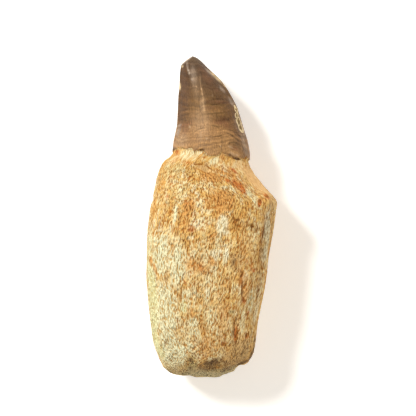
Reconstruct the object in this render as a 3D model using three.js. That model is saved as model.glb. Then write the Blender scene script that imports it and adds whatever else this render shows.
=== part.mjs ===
// A fossil mosasaur tooth, lying on its side: a curved enamel crown on a stout, fibrous root.
// Crown and root grew as one tooth, so the object is one solid.
//
// Millimetres. +Y runs from the root's broken end to the crown's tip, +X to the side of the root's
// shoulder, and +Z up. The origin lies under the middle of the tooth, on the surface it rests on.
import * as THREE from "three";

// Driving dimensions
const LENGTH = 110; // root end to crown tip
const ROOT_DEPTH = 34; // height of the lying root above the surface
const ENAMEL_STEP = 0.55; // how far the enamel stands proud of the neck
const NECK_RECOVERY = 3.0; // over which the neck rises again from the foot of that step
const KEEL_RELIEF = 0.45; // rise of the crown's two cutting edges
const KEEL_WIDTH = 7; // half-width of a cutting edge, in degrees around the crown
const FIBRE_SPACING = 2.5; // between the lengthwise ridges of the root
const FIBRE_LENGTH = 16;
const FIBRE_RELIEF = 0.6;
const LUMP_SPACING = 11; // between the broad swellings of the root
const LUMP_RELIEF = 0.55;
const PIT_SPACING = 2.8; // between the pits of the granular bone below the neck
const PIT_RELIEF = 0.8;
const BREAK_SPACING = 5; // between the bumps of the broken root end
const BREAK_RELIEF = 0.9;
const GRAIN_RADIUS = 20; // radius on which the root's ridges are spaced
const KEELS = [17.5, 172.5]; // where the cutting edges lie: degrees around from the right side
const FOOT_MIDDLE = 21.5; // how far along the enamel's ragged foot lies on the whole
const FOOT_REACH = 6; // how far on each side of the foot the mesh bends with it

// Mesh density
const AROUND = 72;
const ALONG = 68;
const CROWN_FINENESS = 1.6; // how much closer together the rings lie on the crown than on the root

// Cross-sections from the root's end to the tip. along is measured from the tooth's middle, left and
// right from its long axis as seen from above, under and top from the surface it lies on. square is
// the exponent of the section's superellipse: 2 is an ellipse, more is boxier, less is keeled.
const END = LENGTH / 2;
const SECTIONS = [
  // along, left, right, under, top, square
  [-END, 0.3, 0.3, 14.0, 14.0, 2.2], // pole of the broken root end
  [-54.6, -8.5, 4.5, 9.4, 18.6, 2.2],
  [-54.1, -13.2, 6.8, 6.4, 21.8, 2.3],
  [-52.6, -15.4, 9.2, 4.2, 24.8, 2.4],
  [-50.3, -16.7, 11.7, 2.5, 27.4, 2.4],
  [-47.4, -17.9, 14.1, 1.1, 29.6, 2.4],
  [-42.6, -19.4, 15.3, 0.0, 31.4, 2.4],
  [-35.5, -20.5, 16.0, -0.5, 32.7, 2.4],
  [-26.5, -21.5, 17.8, -0.8, 33.6, 2.4],
  [-17.0, -22.2, 19.4, -0.9, ROOT_DEPTH, 2.4],
  [-8.5, -22.1, 20.9, -0.9, ROOT_DEPTH, 2.4],
  [-2.0, -21.0, 21.7, -0.8, 33.7, 2.4],
  [2.2, -20.5, 22.1, -0.6, 33.3, 2.4], // shoulder
  [5.2, -20.0, 22.2, -0.3, 32.7, 2.4],
  [8.0, -19.4, 19.8, 0.4, 31.8, 2.3],
  [11.0, -18.8, 17.3, 1.5, 30.6, 2.2],
  [14.0, -18.1, 15.2, 2.9, 29.2, 2.2],
  [16.6, -17.3, 13.7, 4.2, 28.1, 2.1], // neck
  [19.0, -16.0, 13.3, 5.1, 27.5, 2.0],
  [21.5, -13.6, 13.3, 5.7, 27.2, 1.95], // foot of the enamel
  [25.5, -12.7, 12.6, 6.1, 26.6, 1.9],
  [30.5, -11.4, 11.1, 6.6, 25.5, 1.85],
  [36.0, -11.0, 9.4, 7.1, 23.9, 1.85],
  [41.0, -10.8, 6.9, 7.8, 22.1, 1.85],
  [45.5, -10.4, 4.0, 8.6, 20.2, 1.85],
  [49.3, -10.3, 0.3, 9.6, 18.4, 1.9],
  [51.9, -10.2, -2.0, 10.5, 17.1, 1.9],
  [53.6, -9.6, -3.7, 11.4, 16.1, 2.0],
  [54.6, -8.1, -5.2, 12.3, 15.2, 2.0],
  [END, -6.5, -6.5, 13.7, 13.7, 2.0], // worn tip
];

// The enamel's ragged foot: how far along the tooth it reaches at places across it.
const ENAMEL_FOOT = [
  // across, along
  [-13.1, 22.2],
  [-12.0, 23.4],
  [-8.6, 23.3],
  [-5.0, 22.6],
  [-2.4, 22.4],
  [-1.2, 21.2],
  [2.4, 21.2],
  [4.0, 22.3],
  [5.6, 20.9],
  [9.1, 19.8],
  [12.0, 19.4],
  [13.2, 18.2],
];

// Single features of the upper or lower face: a centre, the half-sizes along its own two axes, how
// far it is turned from +X, and its rise above the surface around it, or fall below it.
const UPPER = 1;
const LOWER = -1;
const FEATURES = [
  // name, face, across, along, length, width, turn, rise
  ["chip out of the right keel", UPPER, 9.4, 33.2, 5.0, 1.3, 106, -1.3],
  ["crown ridge by the left facet", UPPER, -7.5, 43, 10, 1.1, 96, 0.45],
  ["crown ridge by the right facet", UPPER, -2.9, 41, 11, 1.1, 98, 0.4],
  ["spalled flake below the neck", UPPER, -2.7, 16.4, 3.6, 1.5, -22, -0.8],
  ["hollow of the shoulder slope", UPPER, 14, 11.8, 5.5, 2.6, -52, -0.7],
  ["shoulder knob", UPPER, 19, 4.6, 4.4, 3.0, -60, 0.9],
  ["ledge that ends the granular bone", UPPER, 9.9, -4.6, 6.5, 2.0, 4, -0.5],
  ["pale swelling", UPPER, 3.9, -2.6, 3.6, 2.0, 80, 0.5],
  ["groove of the right flank", UPPER, 17.8, -10.8, 13, 1.1, 80, -0.7],
  ["crest of the left flank", UPPER, -16.4, -43, 8, 1.2, 101, 0.6],
  ["groove beside that crest", UPPER, -18.4, -43.5, 7, 1.0, 101, -0.6],
  ["upper furrow of the right side", UPPER, 10.6, -24, 7, 1.1, 92, -0.6],
  ["lower furrow of the right side", UPPER, 8.2, -40, 7, 1.1, 96, -0.6],
  ["long furrow of the left side", UPPER, -9.5, -24, 14, 1.2, 89, -0.4],
  ["dent at the root end", UPPER, 0, -49.7, 4.2, 2.2, 12, -0.9],
  ["broken corner of the root end", UPPER, 9.5, -50.6, 3.0, 1.6, 36, -1.1],
  ["lower crown ridge", LOWER, -4.5, 41, 12, 1.1, 97, 0.4],
  ["lower shoulder hollow", LOWER, 12, 9, 5.5, 2.6, -52, -0.6],
  ["lower left furrow", LOWER, -16.5, -18, 15, 1.2, 93, -0.6],
  ["lower right furrow", LOWER, 14, -20, 12, 1.2, 86, -0.6],
  ["lower dent at the root end", LOWER, 3, -50, 4, 2, -10, -0.8],
];

// The flat worn on the left of the tip: a point on it and the way that it faces.
const TIP_WEAR = {
  point: new THREE.Vector3(-8.4, 53.2, 14.4),
  facing: new THREE.Vector3(-0.6, 0.78, 0.22).normalize(),
};

const clamp01 = (value) => Math.min(1, Math.max(0, value));
const smoothstep = (low, high, value) => {
  const t = clamp01((value - low) / (high - low));
  return t * t * (3 - 2 * t);
};
const mix = (a, b, t) => a + (b - a) * t;

// Repeatable value noise between -1 and 1 on a lattice of unit cells.
function latticeValue(i, j, k) {
  let h = Math.imul(i, 374761393) ^ Math.imul(j, 668265263) ^ Math.imul(k, 1442695041);
  h = Math.imul(h ^ (h >>> 13), 1274126177);
  return ((h ^ (h >>> 16)) >>> 0) / 2147483647.5 - 1;
}

function noise(x, y, z) {
  const cell = [x, y, z].map(Math.floor);
  const [u, v, w] = [x, y, z].map((value, axis) => smoothstep(0, 1, value - cell[axis]));
  const corner = (i, j, k) => latticeValue(cell[0] + i, cell[1] + j, cell[2] + k);
  const edge = (j, k) => mix(corner(0, j, k), corner(1, j, k), u);
  return mix(mix(edge(0, 0), edge(1, 0), v), mix(edge(0, 1), edge(1, 1), v), w);
}

// A smooth curve through rows of numbers. At each pole the row beyond is the next one with its sides
// exchanged, so the curve runs straight across the pole and the end comes out rounded.
function acrossThePole([along, left, right, under, top, square]) {
  return [along, right, left, top, under, square];
}

function catmullRom(a, b, c, d, t) {
  return b.map((_, n) => {
    const bend = 2 * a[n] - 5 * b[n] + 4 * c[n] - d[n];
    const twist = 3 * b[n] - a[n] - 3 * c[n] + d[n];
    return b[n] + 0.5 * t * (c[n] - a[n] + t * (bend + t * twist));
  });
}

const last = SECTIONS.length - 1;
const rows = [acrossThePole(SECTIONS[1]), ...SECTIONS, acrossThePole(SECTIONS[last - 1])];

function sectionAt(position) {
  const n = Math.min(Math.floor(position), last - 1);
  return catmullRom(rows[n], rows[n + 1], rows[n + 2], rows[n + 3], position - n);
}

// A point of the smooth tooth, before relief. angle 0 is the right side and a quarter turn the top.
function smoothPoint(position, angle) {
  const [along, left, right, under, top, square] = sectionAt(position);
  const power = 2 / square;
  const across = Math.sign(Math.cos(angle)) * Math.abs(Math.cos(angle)) ** power;
  const up = Math.sign(Math.sin(angle)) * Math.abs(Math.sin(angle)) ** power;
  const x = (left + right) / 2 + (across * (right - left)) / 2;
  const z = (under + top) / 2 + (up * (top - under)) / 2;
  return new THREE.Vector3(x, along, z);
}

// Ring positions spaced evenly along the surface of the root, and closer together on the crown.
function ringPositions(count) {
  const steps = 24 * last;
  const sidesAndTop = (n) => [0, Math.PI / 2, Math.PI].map((angle) => smoothPoint((n / steps) * last, angle));
  const travelled = [0];
  for (let n = 1; n <= steps; n++) {
    const before = sidesAndTop(n - 1);
    const gaps = sidesAndTop(n).map((point, side) => point.distanceTo(before[side]));
    const fineness = mix(1, CROWN_FINENESS, smoothstep(0, 14, before[0].y));
    travelled.push(travelled[n - 1] + (fineness * gaps.reduce((sum, gap) => sum + gap)) / gaps.length);
  }
  return Array.from({ length: count - 1 }, (_, ring) => {
    const wanted = (travelled[steps] * (ring + 1)) / count;
    const n = travelled.findIndex((length) => length >= wanted);
    const share = (wanted - travelled[n - 1]) / (travelled[n] - travelled[n - 1]);
    return ((n - 1 + share) / steps) * last;
  });
}

// How far along the tooth the enamel reaches at a place across it.
function enamelFoot(across) {
  const n = Math.max(1, ENAMEL_FOOT.findIndex(([x]) => x >= across));
  const next = ENAMEL_FOOT[across > ENAMEL_FOOT.at(-1)[0] ? ENAMEL_FOOT.length - 1 : n];
  const before = ENAMEL_FOOT[ENAMEL_FOOT.indexOf(next) - 1];
  return mix(before[1], next[1], clamp01((across - before[0]) / (next[0] - before[0])));
}

// Rings near the enamel's foot bend with it, so that its step falls between two of them.
function besideFoot(position, angle) {
  const point = smoothPoint(position, angle);
  const nearness = Math.exp(-(((point.y - FOOT_MIDDLE) / FOOT_REACH) ** 2));
  const lag = (enamelFoot(point.x) - FOOT_MIDDLE) * nearness;
  if (Math.abs(lag) < 0.01) return position;
  const pace = smoothPoint(position + 0.5, angle).y - smoothPoint(position - 0.5, angle).y;
  return position + lag / pace;
}

// Relief of the enamel's foot: the neck falls away just short of it, so the crown stands proud there.
function enamelRelief(point) {
  const short = enamelFoot(point.x) - point.y;
  return -ENAMEL_STEP * smoothstep(-0.3, 0.6, short) * Math.exp(-((short / NECK_RECOVERY) ** 2));
}

// Relief of the crown's two cutting edges, which run from the neck to the worn tip.
function keelRelief(point, angle) {
  const onCrown = smoothstep(22, 30, point.y) * (1 - smoothstep(48, 53, point.y));
  const nearest = Math.min(...KEELS.map((keel) => Math.abs(THREE.MathUtils.radToDeg(angle) - keel)));
  return KEEL_RELIEF * onCrown * Math.exp(-((nearest / KEEL_WIDTH) ** 2));
}

// Relief of the root: broad swellings, pits near the neck, and fibres that run to the root's end.
function rootRelief(point, angle) {
  const grain = [Math.cos(angle) * GRAIN_RADIUS, Math.sin(angle) * GRAIN_RADIUS];
  const onRoot = 1 - smoothstep(12, 19, point.y);
  const fibrous = 1 - smoothstep(-14, 8, point.y);
  const lumps = noise(point.x / LUMP_SPACING, point.y / LUMP_SPACING + 7, point.z / LUMP_SPACING);
  const pits = noise(point.x / PIT_SPACING, point.y / PIT_SPACING, point.z / PIT_SPACING + 31);
  const fibres = noise(grain[0] / FIBRE_SPACING, grain[1] / FIBRE_SPACING, point.y / FIBRE_LENGTH + 53);
  const granular = (1 - fibrous) * PIT_RELIEF * Math.min(0, pits + 0.15);
  return onRoot * (LUMP_RELIEF * lumps + granular + fibrous * FIBRE_RELIEF * fibres);
}

// Relief of the broken root end. It leaves the middle of the end alone, so the tooth keeps its length.
function breakRelief(point) {
  const onBreak = 1 - smoothstep(1, 4, END + point.y);
  const middle = SECTIONS[0];
  const offMiddle = smoothstep(1, 5, Math.hypot(point.x - middle[1], point.z - middle[3]));
  const bumps = noise(point.x / BREAK_SPACING, point.y / BREAK_SPACING, point.z / BREAK_SPACING + 17);
  return BREAK_RELIEF * onBreak * offMiddle * (bumps - 0.4);
}

// Relief of the single features, each fading out over its half-sizes.
function featureRelief(point, normal) {
  let rise = 0;
  for (const [, face, across, along, length, width, turn, height] of FEATURES) {
    const facing = smoothstep(-0.1, 0.35, normal.z * face);
    const heading = THREE.MathUtils.degToRad(turn);
    const [dx, dy] = [point.x - across, point.y - along];
    const lengthwise = (dx * Math.cos(heading) + dy * Math.sin(heading)) / length;
    const sideways = (dy * Math.cos(heading) - dx * Math.sin(heading)) / width;
    rise += height * facing * Math.exp(-(lengthwise ** 4) - sideways ** 2);
  }
  return rise;
}

function buildTooth() {
  const rings = ringPositions(ALONG);
  const step = (2 * Math.PI) / AROUND;
  const smallStep = 1e-3;
  const vertices = [];
  for (const position of rings) {
    for (let n = 0; n < AROUND; n++) {
      const angle = (n + 0.5) * step;
      const place = besideFoot(position, angle);
      const point = smoothPoint(place, angle);
      const around = smoothPoint(place, angle + smallStep).sub(smoothPoint(place, angle - smallStep));
      const onward = smoothPoint(place + smallStep, angle).sub(smoothPoint(place - smallStep, angle));
      const normal = around.cross(onward).normalize().negate();
      const sides = enamelRelief(point) + keelRelief(point, angle) + rootRelief(point, angle);
      const ends = smoothstep(0, 4, END - Math.abs(point.y));
      const relief = ends * (sides + featureRelief(point, normal)) + breakRelief(point);
      point.addScaledVector(normal, relief);
      const beyondWear = point.clone().sub(TIP_WEAR.point).dot(TIP_WEAR.facing);
      point.addScaledVector(TIP_WEAR.facing, -Math.max(0, beyondWear));
      point.z = Math.max(0, point.z);
      vertices.push(...point.toArray());
    }
  }
  const rootPole = vertices.length / 3;
  vertices.push(...smoothPoint(0, 0).toArray(), ...smoothPoint(last, 0).toArray());

  const triangles = [];
  for (let n = 0; n < AROUND; n++) {
    const next = (n + 1) % AROUND;
    triangles.push(rootPole, n, next);
    for (let ring = 0; ring < rings.length - 1; ring++) {
      const [low, high] = [ring * AROUND, (ring + 1) * AROUND];
      triangles.push(low + n, high + n, low + next, low + next, high + n, high + next);
    }
    const crown = (rings.length - 1) * AROUND;
    triangles.push(rootPole + 1, crown + next, crown + n);
  }
  const geometry = new THREE.BufferGeometry();
  geometry.setAttribute("position", new THREE.Float32BufferAttribute(vertices, 3));
  geometry.setIndex(triangles);
  return geometry;
}

const boneColour = new THREE.MeshStandardMaterial({ color: 0xd2ad72, roughness: 0.85, metalness: 0 });
const tooth = new THREE.Mesh(buildTooth(), boneColour);
tooth.name = "tooth";

const group = new THREE.Group();
group.add(tooth);

export default group;
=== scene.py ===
"""A fossil mosasaur tooth, lying on its side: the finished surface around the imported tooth."""
import math

import bpy
import numpy as np
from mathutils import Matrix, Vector


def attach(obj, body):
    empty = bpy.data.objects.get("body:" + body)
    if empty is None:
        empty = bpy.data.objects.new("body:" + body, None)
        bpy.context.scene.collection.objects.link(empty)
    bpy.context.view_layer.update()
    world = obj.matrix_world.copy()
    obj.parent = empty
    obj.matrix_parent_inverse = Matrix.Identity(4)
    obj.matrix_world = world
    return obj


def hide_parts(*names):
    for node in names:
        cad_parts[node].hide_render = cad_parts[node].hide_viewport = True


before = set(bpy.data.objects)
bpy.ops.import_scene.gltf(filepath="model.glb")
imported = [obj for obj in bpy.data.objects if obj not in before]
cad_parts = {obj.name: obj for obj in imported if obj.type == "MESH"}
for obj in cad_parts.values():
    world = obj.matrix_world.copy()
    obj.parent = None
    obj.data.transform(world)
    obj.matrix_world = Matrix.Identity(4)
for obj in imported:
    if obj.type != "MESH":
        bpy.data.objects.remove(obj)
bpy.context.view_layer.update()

MM = 0.001

# ---------------------------------------------------------------------------------------------
# The tooth's form, in millimetres: +Y to the crown's tip, +X to the root's shoulder, +Z up
# ---------------------------------------------------------------------------------------------
LENGTH = 110  # root end to crown tip
END = LENGTH / 2
ROOT_DEPTH = 34  # height of the lying root

# Cross-sections from the root's end to the tip. along is measured from the tooth's middle, left and
# right from its long axis, under and top from the surface it lies on. square is the exponent of the
# section's superellipse: 2 is an ellipse, more is boxier, less is keeled.
SECTIONS = np.array([
    # along, left, right, under, top, square
    (-END, 1.2, 1.2, 14.0, 14.0, 2.2),
    (-54.6, -3.0, 4.9, 9.4, 18.6, 2.2),
    (-54.1, -12.8, 6.6, 6.4, 21.8, 2.3),
    (-52.6, -15.4, 9.2, 4.2, 24.8, 2.4),
    (-50.3, -16.7, 11.7, 2.5, 27.4, 2.4),
    (-47.4, -17.9, 14.1, 1.1, 29.6, 2.4),
    (-42.6, -19.4, 15.3, 0.0, 31.4, 2.4),
    (-35.5, -20.5, 16.0, -0.5, 32.7, 2.4),
    (-26.5, -21.5, 17.8, -0.8, 33.6, 2.4),
    (-17.0, -22.2, 19.4, -0.9, ROOT_DEPTH, 2.4),
    (-8.5, -22.1, 20.9, -0.9, ROOT_DEPTH, 2.4),
    (-2.0, -21.0, 21.7, -0.8, 33.7, 2.4),
    (2.2, -20.5, 22.1, -0.6, 33.3, 2.4),
    (5.2, -20.0, 22.2, -0.3, 32.7, 2.4),
    (8.0, -19.4, 19.8, 0.4, 31.8, 2.3),
    (11.0, -18.8, 17.3, 1.5, 30.6, 2.2),
    (14.0, -18.1, 15.2, 2.9, 29.2, 2.2),
    (16.6, -17.3, 13.7, 4.2, 28.1, 2.1),
    (19.0, -16.0, 13.3, 5.1, 27.5, 2.0),
    (21.5, -13.6, 13.3, 5.7, 27.2, 1.95),
    (25.5, -12.7, 12.6, 6.1, 26.6, 1.9),
    (30.5, -11.4, 11.1, 6.6, 25.5, 1.85),
    (36.0, -11.0, 9.4, 7.1, 23.9, 1.85),
    (41.0, -10.8, 6.9, 7.8, 22.1, 1.85),
    (45.5, -10.4, 4.0, 8.6, 20.2, 1.85),
    (49.3, -10.3, 0.3, 9.6, 18.4, 1.9),
    (51.9, -10.2, -2.0, 10.5, 17.1, 1.9),
    (53.6, -9.6, -3.7, 11.4, 16.1, 2.0),
    (54.6, -8.1, -5.2, 12.3, 15.2, 2.0),
    (END, -6.5, -6.5, 13.7, 13.7, 2.0),
])
LAST = len(SECTIONS) - 1

# The enamel's ragged foot: how far along the tooth it reaches at places across it
ENAMEL_FOOT = np.array([
    # across, along
    (-13.0, 22.4),
    (-11.9, 23.5),
    (-9.8, 23.5),
    (-8.4, 22.8),
    (-7.1, 23.2),
    (-6.4, 23.0),
    (-5.8, 22.2),
    (-4.4, 22.3),
    (-3.0, 22.9),
    (-1.8, 21.8),
    (-1.2, 20.8),
    (-0.1, 20.4),
    (2.3, 20.8),
    (3.6, 22.0),
    (5.3, 20.5),
    (7.4, 20.0),
    (8.7, 19.5),
    (10.8, 19.7),
    (11.8, 20.4),
    (12.8, 19.4),
])
FOOT_MIDDLE = 21.5
FOOT_REACH = 6  # how far from the foot the rings of the mesh still bend with it
FOOT_NOTCHES = (
    # spacing, depth, where in the noise
    (1.3, 0.45, 5.5),
    (0.6, 0.25, 9.5),
)
ENAMEL_STEP = 0.55  # how far the enamel stands proud of the neck
ENAMEL_EDGE = (-0.1, 0.35)  # where below the foot the step falls off
NECK_RECOVERY = 3.0  # how far below the foot the neck swells out again
KEELS = (17.5, 172.5)  # degrees around from the right side
KEEL_WIDTH = 7  # degrees
KEEL_RELIEF = 0.45
KEELS_BEGIN, KEELS_END = (22, 30), (48, 53)  # where they rise and die out

# Single features of the upper (1) or lower (-1) face, or of both (0): a centre, the half-sizes along
# its own two axes, how far it is turned from +X, and its rise above the surface around it, or its fall
FEATURES = (
    # name, face, across, along, length, width, turn, rise
    ("chip out of the right keel", 1, 10.0, 31.8, 3.4, 1.2, 106, -0.8),
    ("crown ridge by the left facet", 1, -7.5, 43, 10, 1.1, 96, 0.2),
    ("crown ridge by the right facet", 1, -2.9, 41, 11, 1.1, 98, 0.15),
    ("spalled flake below the neck", 1, -2.7, 16.4, 3.6, 1.5, -22, -0.8),
    ("hollow of the shoulder slope", 1, 14, 11.8, 5.5, 2.6, -52, -0.7),
    ("shoulder knob", 1, 19, 4.6, 4.4, 3.0, -60, 0.9),
    ("ledge that ends the granular bone", 1, 9.9, -4.6, 6.5, 2.0, 4, -0.5),
    ("pale swelling", 1, 3.9, -2.6, 3.6, 2.0, 80, 0.5),
    ("groove of the right flank", 1, 17.8, -10.8, 13, 1.1, 80, -0.7),
    ("crest of the left flank", 1, -16.4, -43, 8, 1.2, 101, 0.6),
    ("groove beside that crest", 1, -18.4, -43.5, 7, 1.0, 101, -0.6),
    ("upper furrow of the right side", 1, 10.6, -24, 7, 0.8, 92, -0.5),
    ("lower furrow of the right side", 1, 8.2, -40, 7, 0.8, 96, -0.5),
    ("long furrow of the left side", 1, -9.5, -24, 14, 1.2, 89, -0.4),
    ("dent at the root end", 1, 0, -49.7, 4.2, 2.2, 12, -0.5),
    ("broken corner of the root end", 1, 9.5, -50.6, 3.0, 1.6, 36, -1.1),
    ("notch of the root end", 0, 9.9, -52.4, 1.8, 1.3, 35, -1.0),
    ("corner of the root end", 0, 12.6, -50.4, 1.2, 1.4, 50, 0.5),
    ("lower crown ridge", -1, -4.5, 41, 12, 1.1, 97, 0.4),
    ("lower shoulder hollow", -1, 12, 9, 5.5, 2.6, -52, -0.6),
    ("lower left furrow", -1, -16.5, -18, 15, 1.2, 93, -0.6),
    ("lower right furrow", -1, 14, -20, 12, 1.2, 86, -0.6),
    ("lower dent at the root end", -1, 3, -50, 4, 2, -10, -0.8),
)
FEATURES_WRAP = (-0.1, 0.35)  # how far a normal points to a face, as a share, where its features come in

# The flat worn on the left of the tip: a point on it and the way that it faces
TIP_WEAR_POINT = np.array((-8.4, 53.2, 14.4))
TIP_WEAR_FACING = np.array((-0.6, 0.78, 0.22)) / math.hypot(0.6, 0.78, 0.22)

# Broad relief: what it is spaced on, how high it stands, and where along the tooth it fades
LUMP_SPACING, LUMP_RELIEF = 11, 0.55
FIBRE_SPACING, FIBRE_LENGTH, FIBRE_RELIEF = 2.5, 16, 0.2
PIT_SPACING, PIT_RELIEF, PIT_LEVEL = 2.8, 0.6, -0.15  # noise under the level sinks a pit
BREAK_SPACING, BREAK_RELIEF, BREAK_LEVEL = 5, 0.9, 0.4  # noise over the level stands proud
ROOT_FADES = (12, 19)
FIBRES_FADE = (-14, 8)
BREAK_FADES = (1, 4)  # from the root's end
BREAK_STAIN_FADES, BREAK_STAIN_WAVE = (-55.0, -50.5), 2.5  # the stain's edge waves by so much
BREAK_RIM = (1, 5)  # from the middle of the root's end
GRAIN_RADIUS = 20  # the grain is laid out as on a round tooth of this radius
END_BEGINS = 5  # the section from which the root rounds over to its broken end
FLOW_HALF_WIDTH = 18  # the root's typical half-width: where it is narrower its fibres draw together
FLOW_SQUEEZE = (0.8, 1.3)
SMOOTH_TIPS = (0, 4)  # from either end: the relief dies out towards both poles

# Mesh density
AROUND = 312
ALONG = 316
CROWN_FINENESS = 1.5  # how much closer together the crown's rings are than the root's
FINER_OVER = (0, 14)  # where along the tooth they draw together
PATH_STEPS = 48  # steps from one section to the next when the surface is measured


def smoothstep(low, high, value):
    """Rises smoothly from 0 at low to 1 at high."""
    t = np.clip((value - low) / (high - low), 0, 1)
    return t * t * (3 - 2 * t)


def mix(a, b, t):
    """a where t is 0, and b where it is 1."""
    return a + (b - a) * t


def lattice(i, j, k):
    """Repeatable random values between -1 and 1 at whole-number points."""
    parts = [v.astype(np.int64).astype(np.uint32) for v in (i, j, k)]
    h = parts[0] * np.uint32(374761393) ^ parts[1] * np.uint32(668265263) ^ parts[2] * np.uint32(1442695041)
    h = (h ^ (h >> np.uint32(13))) * np.uint32(1274126177)
    return (h ^ (h >> np.uint32(16))) / 2147483647.5 - 1


def noise(x, y, z):
    """Value noise on a lattice of unit cells."""
    cell = [np.floor(v) for v in (x, y, z)]
    u, v, w = (smoothstep(0, 1, value - low) for value, low in zip((x, y, z), cell))

    def edge(j, k):
        ends = [lattice(cell[0] + i, cell[1] + j, cell[2] + k) for i in (0, 1)]
        return mix(ends[0], ends[1], u)

    return mix(mix(edge(0, 0), edge(1, 0), v), mix(edge(0, 1), edge(1, 1), v), w)


def pole_rows():
    """The sections, with the next one mirrored beyond each pole, so that both ends come out rounded."""
    swapped = SECTIONS[:, (0, 2, 1, 4, 3, 5)]
    return np.vstack([swapped[1], SECTIONS, swapped[-2]])


ROWS = pole_rows()


def sections_at(position):
    """Catmull-Rom through the sections; position counts them from the root's end."""
    n = np.clip(position.astype(int), 0, LAST - 1)
    t = (position - n)[..., None]
    a, b, c, d = (ROWS[n + k] for k in range(4))
    return b + 0.5 * t * (c - a + t * (2 * a - 5 * b + 4 * c - d + t * (3 * b - a - 3 * c + d)))


def smooth_points(position, angle):
    """Points of the smooth tooth. angle 0 is the right side and a quarter turn the top."""
    along, left, right, under, top, square = np.moveaxis(sections_at(position), -1, 0)
    across = np.sign(np.cos(angle)) * np.abs(np.cos(angle)) ** (2 / square)
    up = np.sign(np.sin(angle)) * np.abs(np.sin(angle)) ** (2 / square)
    x = (left + right) / 2 + across * (right - left) / 2
    z = (under + top) / 2 + up * (top - under) / 2
    return np.stack([x, along, z], axis=-1)


def ring_positions(count):
    """Rings spaced evenly along the surface of the root, and closer together on the crown."""
    fine = np.linspace(0, LAST, PATH_STEPS * LAST + 1)
    paths = np.stack([smooth_points(fine, np.full_like(fine, a)) for a in (0, math.pi / 2, math.pi)])
    gaps = np.linalg.norm(np.diff(paths, axis=1), axis=2).mean(axis=0)
    finer = mix(1, CROWN_FINENESS, smoothstep(*FINER_OVER, paths[0, :-1, 1]))
    travelled = np.concatenate([[0], np.cumsum(gaps * finer)])
    wanted = travelled[-1] * np.arange(1, count) / count
    return np.interp(wanted, travelled, fine)


def foot_line(across, height):
    """The enamel's foot with its small notches, where the rings of the mesh run along it."""
    line = np.interp(across, ENAMEL_FOOT[:, 0], ENAMEL_FOOT[:, 1])
    for spacing, depth, where in FOOT_NOTCHES:
        line = line + depth * noise(across / spacing, height / spacing, np.full_like(across, where))
    return line


def beside_foot(position, angle):
    """Moves ring positions so that the rings near the enamel's foot bend with it."""
    point = smooth_points(position, angle)
    nearness = np.exp(-(((point[..., 1] - FOOT_MIDDLE) / FOOT_REACH) ** 2))
    lag = (foot_line(point[..., 0], point[..., 2]) - FOOT_MIDDLE) * nearness
    ahead = smooth_points(np.clip(position + 0.5, 0, LAST), angle)
    behind = smooth_points(np.clip(position - 0.5, 0, LAST), angle)
    return np.where(np.abs(lag) < 0.01, position, position + lag / (ahead - behind)[..., 1])


def feature_relief(points, normals):
    """How far the single features raise or sink each point."""
    rise = np.zeros(points.shape[:-1])
    for _, face, across, along, length, width, turn, height in FEATURES:
        facing = smoothstep(*FEATURES_WRAP, normals[..., 2] * face) if face else 1
        heading = math.radians(turn)
        dx, dy = points[..., 0] - across, points[..., 1] - along
        lengthwise = (dx * math.cos(heading) + dy * math.sin(heading)) / length
        sideways = (dy * math.cos(heading) - dx * math.sin(heading)) / width
        rise += height * facing * np.exp(-lengthwise ** 4 - sideways ** 2)
    return rise


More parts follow.
